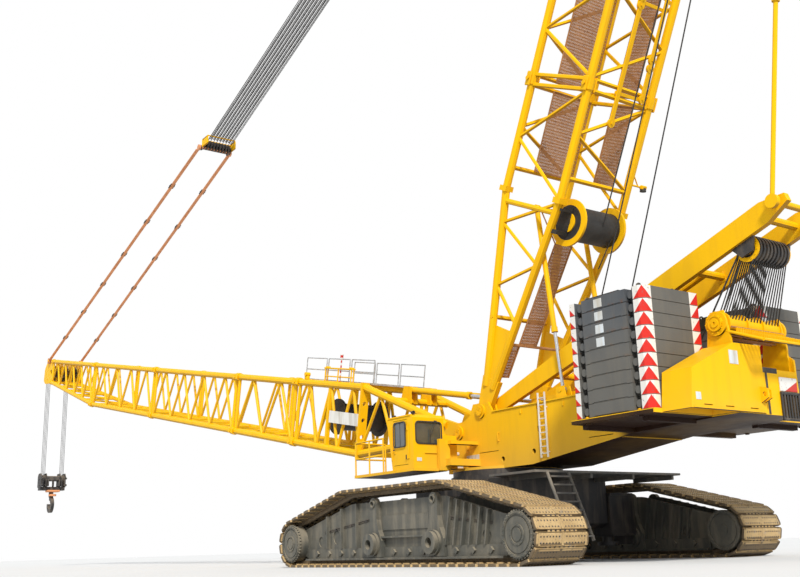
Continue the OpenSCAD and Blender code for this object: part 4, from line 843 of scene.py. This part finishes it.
def mesh_panel(axes, s0, s1, y0, y1, z):
    """A mesh panel lying in the plane of a tilted frame's s and y."""
    strips = block((s0, y0, z), (s1, y0 + 15, z + 10), 0, axes)
    bars = block((s0, y0, z + 2), (s0 + 20, y1, z + 8), 0, axes)
    edges = (
        (s0 - 12, y0 - 12, s1 + 12, y0),
        (s0 - 12, y1, s1 + 12, y1 + 12),
        (s0 - 12, y0, s0, y1),
        (s1, y0, s1 + 12, y1),
    )
    rims = [block((a, b, z - 12), (c, d, z + 26), 3, axes) for a, b, c, d in edges]
    row(strips, int((y1 - y0) / STRIP_STEP), step(axes, 0, STRIP_STEP, 0))
    row(bars, int((s1 - s0) / CROSS_STEP), step(axes, CROSS_STEP, 0, 0))
    return [strips, bars] + rims


parts = []
for s0, s1 in PANELS:
    parts += mesh_panel(mast_axes, s0, s1, *GRATING_Y, GRATING_Z)
piece("mast_gratings", parts, "mast", "dark", "mesh_brown_shade")
side_axes = mast_axes @ Matrix.Rotation(math.pi / 2, 4, "X")
parts = []
for s0, s1 in PANELS[:-1]:
    parts += mesh_panel(side_axes, s0, s1, *SIDE_Y, SIDE_Z)
piece("mast_side_gratings", parts, "mast", "dark", "mesh_brown_shade")

# %% Gratings between the mast's legs
LEG_OUT = math.atan2(140, 3940)
LEG_BACK = math.atan2(710, 3940)
leg_axes = mast_axes @ Matrix.Translation((0.060, -0.600, -0.030))
leg_axes = leg_axes @ Matrix.Rotation(LEG_BACK, 4, "Y") @ Matrix.Rotation(-LEG_OUT, 4, "Z")
parts = mesh_panel(leg_axes, 660, 1270, 70, 240, -5)
parts += mesh_panel(leg_axes, 1320, 3230, 240, 620, -5)
parts.append(rod(on(leg_axes, 1300, 40, 0), on(mast_axes, 1338, 630, -259), 26, 8))
for y in (246, 614):
    corner = on(leg_axes, 3236, y, 4)
    side = (mast_axes.inverted() @ corner).y * 1000
    parts.append(rod(corner, on(mast_axes, 3784, side, 0), 12, 6))
piece("mast_foot_grating", parts, "mast", "dark", "mesh_brown_shade")

# %% [markdown]
# ## Stowed bars
#
# Flat tension bars with an eye at each end lie in brackets on the mast's rear face until they are
# needed. A bar is a long block, and each eye is a thick ring round a pin.

# %% Stowed bars
def flat_bar(axes, s0, s1, y, z, width=46):
    """A flat bar with an eye and a pin at both ends, lying along a tilted frame."""
    parts = [block((s0 + 60, y - width, z - 14), (s1 - 60, y + width, z + 14), 5, axes)]
    for s in (s0, s1):
        centre = on(axes, s, y, z - 22)
        parts.append(ring(centre, step(axes, 0, 0, 1000), 26, width + 30, 44, 20))
        parts.append(bar((s, y, z - 40), (s, y, z + 40), 24, 12, axes))
    return parts


BARS_Z = -800
parts = []
for s0, s1, y in ((5480, 7500, -95), (7620, 10900, -95), (6020, 6560, 480), (6700, 9900, 480)):
    parts += flat_bar(mast_axes, s0, s1, y, BARS_Z)
for s in (6000, 7560, 9000, 10600):
    parts.append(block((s - 30, -160, BARS_Z + 12), (s + 30, 560, BARS_Z + 36), 4, mast_axes))
piece("stowed_bars", parts, "mast", "yellow")

# %% [markdown]
# ## Lattice joints
#
# The boom and the mast are shipped in sections. At each joint, four forked lugs take a pin each. The
# lugs are short blocks on both sides of the chord, and each pin has a head and a clip.

# %% Lattice joints
def lattice_joint(axes, s, y, z, reach=136):
    """Two cheeks and a pin across one chord."""
    parts = []
    for side in (-1, 1):
        parts.append(block((s - 130, y + side * 92, z - 66), (s + 130, y + side * 116, z + 66), 14, axes))
    parts.append(bar((s, y - reach, z), (s, y + reach, z), 26, 12, axes))
    parts.append(bar((s, y - reach - 10, z), (s, y - reach + 8, z), 38, 12, axes))
    parts.append(bar((s, y + reach - 14, z - 50), (s, y + reach - 14, z + 50), 6, 6, axes))
    return parts


def joint_pins(body, axes, places, half_y, half_z):
    """The joints of a whole lattice, at its four chords in each place along it."""
    parts = []
    for s in places:
        for y in (-half_y, half_y):
            for z in (-half_z, half_z):
                parts += lattice_joint(axes, s, y, z)
    piece(body + "_joint_pins", parts, body, "yellow")


joint_pins("boom", boom_axes, (6100, 9350, 15250, 21150), 790, 700)
joint_pins("mast", mast_axes, (6000, 11000, 16000), 740, 740)

# %% [markdown]
# ## Drum flanges
#
# The mast's winch drum is black with rope and its two flanges are yellow. Each flange is a flat ring
# with a smaller hub ring on its outer face.

# %% Drum flanges
DRUM_S, DRUM_Z = 3675, -800
parts = []
for side in (-1, 1):
    for y, inner, outer, proud, sides in ((450, 306, 412, 42, 40), (492, 60, 170, 22, 24)):
        centre = on(mast_axes, DRUM_S, side * y, DRUM_Z)
        parts.append(ring(centre, step(mast_axes, 0, side * 1000, 0), inner, outer, proud, sides))
piece("mast_drum_flanges", parts, "mast", "yellow")

# %% [markdown]
# ## Rope fan and long ropes
#
# Ropes from the rear winch run up to the sheaves of the stay frame and back, many parts side by side,
# and spread into a fan. Two long ropes climb to the mast's head. They are taut, so each one is a
# straight rod. They ride on no body, and their places are baked into their meshes.

# %% Rope fan and long ropes
WINCH_X, WINCH_Z, DRUM_R = -5400, 3230, 150
parts = []
for i in range(17):
    y_top = -320 + 40 * i
    for near, y_low in ((1, -520 + 63 * i), (-1, -560 + 70 * i)):
        low = at(WINCH_X + near * DRUM_R * 0.9, y_low, WINCH_Z + 60)
        top = on(stay_axes, 5900 - near * 190, y_top + near * 12, 260)
        parts.append(rod(low, top, 10, 5))
parts.append(rod(at(-4900, 420, 2700), on(stay_axes, 5750, 352, 330), 13, 6))
parts.append(rod(at(-4700, 520, 2700), on(stay_axes, 5950, 360, 90), 13, 6))
fan = piece("rope_fan", parts, None, "rope")
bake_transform(fan)
parts = []
for x, y_low, y_top in ((-2050, 60, 330), (-2780, 60, 560)):
    parts.append(rod(at(x, y_low, 2790), on(mast_axes, 18350, y_top, -470), 12, 6))
long_ropes = piece("long_ropes", parts, None, "rope")
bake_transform(long_ropes)

# %% Ropes of the mast's own drum
parts = [
    bar((3750, 40, -1094), (18350, 600, -470), 12, 6, mast_axes),
    bar((3600, 330, -1080), (3000, 330, -950), 10, 6, mast_axes),
]
piece("mast_drum_ropes", parts, "mast", "rope")

# %% Rope guides on the hood
parts = []
for x in (-2050, -2780):
    parts.append(ring(at(x, 40, 2770), (0, 1, 0), 12, 46, 40, 24))
    for side in (-1, 1):
        parts.append(block((x - 40, 60 + side * 32, 2738), (x + 40, 60 + side * 42, 2800), 6))
piece("rope_guides", parts, "superstructure", "dark")

# %% [markdown]
# ## Stay sheaves and rear winch
#
# Yellow caps close the sheave pack of the stay frame, and a comb of teeth keeps the ropes apart over
# the rear winch. A curved guard hangs below the drum. The teeth are one row.

# %% Stay sheave caps
SHEAVE_S, SHEAVE_Z = 5900, 260
parts = []
for side in (1, -1):
    out = step(stay_axes, 0, side * 1000, 0)
    centre = on(stay_axes, SHEAVE_S, side * 350, SHEAVE_Z)
    parts.append(ring(centre, out, 128, 190, 22, 32))
    parts.append(ring(centre, out, 20, 84, 30, 24))
    z = SHEAVE_Z + 158
    stud = bar((SHEAVE_S, side * 366, z), (SHEAVE_S, side * 384, z), 9, 6, stay_axes)
    parts += around(stud, on(stay_axes, SHEAVE_S, 0, SHEAVE_Z), "Y", 12)
piece("stay_sheave_caps", parts, "stay", "yellow")
parts = []
for side in (1, -1):
    for s in (1480, 4880):
        parts.append(block((s - 70, side * 392, -90), (s + 70, side * 384, 90), 6, stay_axes))
    for s in (2500, 3700):
        parts.append(block((s - 40, side * 494, 30), (s + 40, side * 520, 78), 5, stay_axes))
        parts.append(bar((s, side * 490, 0), (s, side * 530, 0), 24, 12, stay_axes))
piece("stay_brackets", parts, "stay", "yellow")

# %% Rope comb and drum guard
TOOTH_N = 28
TOOTH_STEP = Vector((0, 0.040, 0))
tooth = block((-5640, -556, 3070), (-5600, -546, 3150), 3)
comb = [row(tooth, TOOTH_N, TOOTH_STEP)]
for i in range(5):
    x, z = -5690 - 90 * i, 3052 - 34 * i
    comb.append(row(block((x, -556, z), (x + 14, -546, z + 52), 2), TOOTH_N, TOOTH_STEP))
for i in range(2):
    x, z = -5630 - 420 * i, 3075 - 160 * i
    comb.append(block((x - 12, -575, z - 16), (x + 12, 575, z), 3))
piece("rope_comb", comb, "superstructure", "yellow")
COVER_Y = 722
cover = at(WINCH_X, COVER_Y, WINCH_Z)
bolt = bar((WINCH_X + 145, COVER_Y, WINCH_Z), (WINCH_X + 145, COVER_Y + 16, WINCH_Z), 10, 6)
parts = around(bolt, cover, "Y", 10)
parts.append(ring(cover, (0, 1, 0), 96, 112, 10, 32))
parts.append(ring(cover, (0, 1, 0), 20, 62, 16, 24))
piece("winch_cover", parts, "superstructure", "yellow")
guard = []
for i in range(7):
    turn = math.radians(200 + 20 * i)
    x, z = WINCH_X + 196 * math.cos(turn), WINCH_Z + 196 * math.sin(turn)
    guard.append(bar((x, -600, z), (x, 600, z), 13, 8))
piece("drum_guard", guard, "superstructure", "dark", "mesh_brown_shade")

# %% [markdown]
# ## Tackle
#
# The boom is held by a tackle: a block with a row of sheaves, and a wide ribbon of rope parts up to the
# mast's head. From far off the ribbon is a grey band, so more parts lie between the main ones. The
# block has yellow cheeks, and an orange yoke joins it to the two pendants.

# %% Tackle
BLOCK_X, BLOCK_Z = 12920, 12590
HEAD_PIN = on(mast_axes, 18900, 0, 430)
tackle_axes = Matrix.Translation(at(BLOCK_X, 0, BLOCK_Z))


def tackle_rope(y, z, radius):
    """A rope from the block to the mast's head, at y and z millimetres of the block."""
    return rod(on(tackle_axes, -180, y, z), HEAD_PIN + Vector((0, y / 1000, 0)), radius, 5)


parts = [tackle_rope(-350 + i / 0.030, 150, 12) for i in range(22) if i % 3]
parts += [tackle_rope(side * (352 + 12 * k), 150 - 24 * k, 8) for side in (1, -1) for k in (1, 2, 3)]
piece("tackle_ropes", parts, "tackle", "rope")
parts = [block((-330, side * 452, -70), (60, side * 474, 190), 30, tackle_axes) for side in (1, -1)]
parts.append(block((-330, -474, 180), (-300, 474, 214), 6, tackle_axes))
parts.append(block((-40, -474, 130), (10, 474, 160), 6, tackle_axes))
piece("tackle_cheeks", parts, "tackle", "yellow")
parts = [
    block((-20, -470, -110), (100, 470, -60), 14, tackle_axes),
    block((50, -440, -60), (90, 440, 60), 10, tackle_axes),
]
piece("tackle_yoke", parts, "tackle", "pendant")

# %% [markdown]
# ## Pendant bars
#
# The pendants are flat steel bars, joined by dark double links at even distances. The flat bars lie
# against the round ones of the solid model and make each strand as broad as the real one.

# %% Pendant bars
LINKS = 7
LINK_HALF = 0.008


def between(low, high, share, dy):
    """A point at a share of the way between two points, moved aside."""
    return low.lerp(high, share) + Vector((0, dy, 0))


parts = []
links = []
for side in (1, -1):
    ends = on(boom_axes, 27800, side * 640, 700), at(13100, side * 520, 12550)
    for dy in (-0.034, 0.034):
        parts.append(rod(between(*ends, LINK_HALF, dy), between(*ends, 1 - LINK_HALF, dy), 24, 6))
    for i in range(1, LINKS):
        low, middle, high = i / LINKS - LINK_HALF, i / LINKS, i / LINKS + LINK_HALF
        for dy in (-0.066, 0.066):
            links.append(rod(between(*ends, low, dy), between(*ends, high, dy), 17, 6))
        links.append(rod(between(*ends, middle, -0.09), between(*ends, middle, 0.09), 20, 10))
piece("pendant_bars", parts, "boom", "pendant")
piece("pendant_links", links, "boom", "dark")

# %% [markdown]
# ## Hook block
#
# The hook block hangs on two groups of lines. Heavy cheek weights make it sink when it is empty, a
# cross beam joins its two halves, and a collar and a safety catch belong to the hook.

# %% Hook block
hook_low, hook_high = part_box("hook_block")
print("hook block", [round(v, 2) for v in hook_low], [round(v, 2) for v in hook_high])
HOOK_PIN = (18.3799, 0, 3.6279)
hook_axes = Matrix.Translation(HOOK_PIN)
parts = [
    block((196, -498, -250), (256, 498, -30), 20, hook_axes),
    block((-90, -262, -240), (196, 262, -60), 24, hook_axes),
    block((-60, -30, -480), (60, 30, -240), 10, hook_axes),
]
for side in (1, -1):
    for y0, y1 in ((292, 340), (420, 468), (200, 258)):
        parts.append(block((-150, side * y0, -470), (240, side * y1, -200), 14, hook_axes))
    for z in (-150, -420):
        for x in (-150, 150):
            parts.append(bar((x, side * 508, z), (x, side * 478, z), 40, 12, hook_axes))
piece("hook_weights", parts, "hook", "dark")
parts = [
    block((-190, -250, -700), (190, 250, -620), 22, hook_axes),
    bar((0, 0, -860), (0, 0, -780), 150, 20, hook_axes),
    bar((100, 0, -920), (240, 0, -1100), 22, 8, hook_axes),
]
piece("hook_collar", parts, "hook", "pendant")

# %% [markdown]
# ## Cab windows
#
# Black rubber holds each pane of the cab in a rounded frame. The frame is a plane whose corners are
# bevelled, whose middle is taken out by an inset and which is then pulled out of the wall.

# %% Cab windows
parts = [
    frame_round(at(158, 1660, 2260), (-1, 0, 0), 540, 360, 24, 12, 50),
    frame_round(at(545, 1318, 2250), (0, -1, 0), 430, 420, 22, 10, 40),
]
piece("cab_window_seals", parts, "superstructure", "trim")
door_low, door_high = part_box("cab_door")
print("door box", [round(v, 3) for v in door_low], [round(v, 3) for v in door_high])
door_y = door_high.y * 1000
parts = [frame_round(at(545, door_y - 1, 2247), (0, 1, 0), 330, 415, 22, 8, 40)]
piece("door_window_seal", parts, "cab_door", "trim")
pane_y = door_y - 12
parts = [block((x, pane_y - 5, 2035), (x + wide, pane_y, 2460), 1) for x, wide in ((375, 160), (545, 170))]
piece("door_panes", parts, "cab_door", "glass")
parts = [
    block((532, pane_y - 8, 2035), (548, pane_y + 3, 2460), 2),
    block((700, door_y - 2, 1980), (745, door_y + 10, 2000), 3),
    bar((345, door_y + 4, 1800), (345, door_y + 4, 1880), 9, 8),
    bar((345, door_y + 4, 2340), (345, door_y + 4, 2420), 9, 8),
]
piece("door_fittings", parts, "cab_door", "trim")

# %% [markdown]
# ## Cab fittings
#
# Work lamps sit on the roof's edges, grab rails stand beside the door, and a wiper lies on the rear
# pane. Two pale blank plates are on the rear wall, and a longer one is on the machine's side.

# %% Cab fittings
def lamp(centre, out, radius):
    """A round lamp: a short can, and a rim that stands out round its face."""
    face = Vector(out).normalized()
    can = rod(centre - face * 0.05, centre, radius, 16)
    return [can, ring(centre - face * 0.004, out, radius - 7, radius + 3, 16, 16)]


parts = []
for y in (1450, 1660, 1870):
    parts += lamp(at(930, y, 2612), (1, 0, 0), 30)
    parts.append(bar((905, y, 2560), (905, y, 2600), 7, 6))
parts += lamp(at(180, 1960, 2610), (-1, 0, 0), 26)
parts.append(bar((200, 1960, 2570), (200, 1960, 2604), 6, 6))
piece("cab_lamps", parts, "superstructure", "trim")
parts = []
for x in (285, 800):
    for a, b in (((2012, 1820), (2012, 2420)), ((1985, 1820), (2012, 1820)), ((1985, 2420), (2012, 2420))):
        parts.append(bar((x, *a), (x, *b), 9))
parts.append(bar((145, 1500, 1905), (145, 1760, 1905), 8))
piece("cab_grab_rails", parts, "superstructure", "yellow")
parts = [
    bar((146, 1500, 2470), (146, 1640, 2160), 5, 6),
    block((138, 1480, 2440), (160, 1540, 2480), 4),
    block((140, 1628, 2080), (150, 1640, 2330), 1),
]
piece("rear_wiper", parts, "superstructure", "trim")
parts = [
    block((151, 1830, 1760), (160, 1930, 1820), 2),
    block((151, 1400, 1950), (160, 1480, 2000), 2),
    block((-55, 700, 1748), (300, 706, 1888), 2),
]
piece("blank_plates", parts, "superstructure", "white", "pale_plate")

# %% [markdown]
# ## Ballast labels and lifting eyes
#
# Pale blank plates sit on the outer side of the upper slabs. The tail box has two as well, and dark
# eyes for lifting stand on the top slabs.

# %% Ballast labels
parts = []
for i in range(4):
    z = STACK_Z + (SLAB_N - 1 - i) * SLAB_H
    for side in (1, -1):
        y = side * STACK_Y[1]
        parts.append(block((-4385, y - side * 2, z + 34), (-4230, y + side * 5, z + 160), 2))
for y, z, half in ((770, 2700, 95), (1590, 2120, 50)):
    parts.append(block((-5687, y - half, z - half), (-5679, y + half, z + half), 2))
piece("ballast_labels", parts, "superstructure", "white", "pale_plate")
parts = []
top = STACK_Z + SLAB_N * SLAB_H
for side in (1, -1):
    for x in (-3900, -4900):
        for y in (950, 1650):
            parts.append(ring(at(x - 10, side * y, top + 50), (1, 0, 0), 28, 52, 20, 20))
            parts.append(block((x - 40, side * y - 60, top), (x + 40, side * y + 60, top + 12), 3))
piece("lifting_eyes", parts, "superstructure", "dark")

# %% [markdown]
# ## Boom top fittings
#
# On the top of the short section stand a rope guide frame and a red and white warning light, and the
# walkway has a mesh floor.

# %% Boom top fittings
def red_bands(name):
    place = new_finish(name)
    bands = (split(place)[2] / 0.11).fraction().above(0.5, 0.02)
    scuffs = noise(place, 30, 4).above(0.62, 0.05)
    shade = bands.between((0.55, 0.03, 0.02), (0.75, 0.74, 0.70))
    shade = (scuffs * 0.4).between(shade, (0.2, 0.15, 0.12))
    finish(place, shade, 0.4 + scuffs * 0.2)


red_bands("red_bands")
parts = []
for y in (760, 820):
    rows = [(s, 766, s, 1060, 16) for s in (3750, 4300, 4850)]
    rows += [(3700, 1060, 4900, 1060, 18), (3750, 880, 4850, 880, 14)]
    parts += [bar((s0, y, z0), (s1, y, z1), r, 8, boom_axes) for s0, z0, s1, z1, r in rows]
for s in (3800, 4800):
    parts.append(bar((s, 740, 1075), (s, 840, 1075), 30, 12, boom_axes))
parts.append(block((5650, 750, 768), (5790, 830, 860), 16, boom_axes))
parts.append(bar((5720, 730, 890), (5720, 850, 890), 48, 14, boom_axes))
piece("boom_rope_guide", parts, "boom", "yellow")
parts = [
    bar((4250, 790, 770), (4250, 790, 1330), 16, 10, boom_axes),
    bar((4250, 790, 1280), (4250, 790, 1380), 34, 12, boom_axes),
]
piece("warning_light", parts, "boom", "trim", "red_bands")
piece("walkway_mesh", mesh_panel(boom_axes, 3080, 6020, -660, 660, 776), "boom", "galv")

# %% [markdown]
# ## Mast floodlight
#
# A floodlight sits on an arm at the mast's rear chord and lights the winches.

# %% Mast floodlight
parts = [
    bar((4560, 780, -740), (4560, 1050, -770), 18, 8, mast_axes),
    bar((4560, 960, -760), (4760, 790, -740), 12, 8, mast_axes),
    block((4520, 1000, -840), (4600, 1120, -750), 16, mast_axes),
]
piece("floodlight_arm", parts, "mast", "yellow")
parts = lamp(on(mast_axes, 4500, 1060, -810), step(mast_axes, -1000, 0, -300), 55)
piece("floodlight", parts, "mast", "trim")

# %% [markdown]
# ## Tail frame and steps
#
# A grey slotted frame and a post hang at the right of the tail, with a red and white plate above
# them. White step boxes lie between the cab and the turntable's side plate.

# %% Tail frame and steps
def corner_plate(name):
    place = new_finish(name)
    x, y, z = split(place)
    slope = ((y + 0.66) * 0.5 + (z - 2.30)).above(0.16, 0.002)
    scuffs = noise(place, 25, 4).above(0.6, 0.06)
    shade = slope.between((0.55, 0.03, 0.02), (0.76, 0.75, 0.71))
    shade = (scuffs * 0.4).between(shade, (0.25, 0.2, 0.16))
    finish(place, shade, 0.45 + scuffs * 0.2)


corner_plate("corner_plate")
parts = [block((-5668, -650, 2300), (-5652, -240, 2500), 4)]
piece("tail_warning_plate", parts, "superstructure", "white", "corner_plate")
parts = [
    block((-5690, -660, 2250), (-5650, -230, 2290), 6),
    block((-5690, -660, 1880), (-5650, -230, 1915), 6),
    row(block((-5684, -655, 1890), (-5656, -625, 2270), 5), 7, Vector((0, 0.066, 0))),
    bar((-5640, 40, 1960), (-5640, 40, 2560), 26, 10),
    block((-5655, -230, 2540), (-5600, 640, 2620), 8),
]
piece("tail_frame", parts, "superstructure", "dark")
parts = [
    block((330, 760, 1660), (620, 1000, 1740), 12),
    block((380, 800, 1900), (600, 980, 1960), 12),
]
piece("step_boxes", parts, "superstructure", "white")

# %% [markdown]
# ## Side plate fittings
#
# Bolted covers close the pivot pins, small lugs stand in a line along the top flange, and hand grips
# are welded to the side plates.

# %% Side plate fittings
parts = []
for side in (1, -1):
    for x, y, z in (BOOM_FOOT, MAST_FOOT):
        centre = at(x, side * 745, z)
        bolt = bar((x + 70, side * 745, z), (x + 70, side * 761, z), 9, 6)
        parts += around(bolt, centre, "Y", 8)
        parts.append(ring(centre, (0, side, 0), 26, 88, 8, 28))
    for x in range(-3300, -700, 520):
        parts.append(block((x - 22, side * 700, 2470), (x + 22, side * 716, 2560), 8))
    for x, z in ((-620, 2140), (250, 2050)):
        parts.append(bar((x, side * 730, z - 70), (x, side * 730, z + 70), 8))
        for end in (z - 70, z + 70):
            parts.append(bar((x, side * 698, end), (x, side * 730, end), 8))
piece("side_plate_fittings", parts, "superstructure", "yellow")

# %% [markdown]
# ## Light and floor
#
# The photograph has a half clouded sky with the sun behind the camera's left shoulder. A soft white dome
# gives the shade its colour, and one wide sun lamp from the rear left lights the plates.

# %% Light, floor and background
def soft_light():
    world = bpy.data.worlds.new("sky")
    bpy.context.scene.world = world
    world.use_nodes = True
    sky = Wire(world.node_tree)
    rays = ("Is Camera Ray", "Is Glossy Ray", "Is Transmission Ray")
    path = [sky.node("LightPath", output=name) for name in rays]
    white = path[0].largest(path[1]).largest(path[2])
    light = sky.node("Background", {"Color": (0.86, 0.92, 1.0, 1), "Strength": 0.62})
    behind = sky.node("Background", {"Color": (1, 1, 1, 1), "Strength": 1.0})
    mixed = sky.node("MixShader", {0: white, 1: light, 2: behind})
    output = world.node_tree.nodes["World Output"]
    world.node_tree.links.new(mixed.socket, output.inputs["Surface"])
    source = bpy.data.lights.new("sun", "SUN")
    source.energy = 3.2
    source.angle = math.radians(9)
    source.color = (1.0, 0.96, 0.90)
    sun = bpy.data.objects.new("sun", source)
    sun.rotation_euler = Vector((0.70, -0.42, -0.62)).to_track_quat("-Z", "Y").to_euler()
    bpy.context.scene.collection.objects.link(sun)


def pale_floor():
    clear_selection()
    bpy.ops.mesh.primitive_plane_add(size=400, location=(0, 0, 0))
    floor = bpy.context.object
    floor.name = "floor"
    place = new_finish("floor_paint")
    finish(place, noise(place, 0.3, 5).between((0.80, 0.80, 0.79), (0.74, 0.74, 0.73)), 0.9)
    floor.data.materials.append(bpy.data.materials["floor_paint"])


soft_light()
pale_floor()
bpy.context.scene.view_settings.view_transform = "Standard"
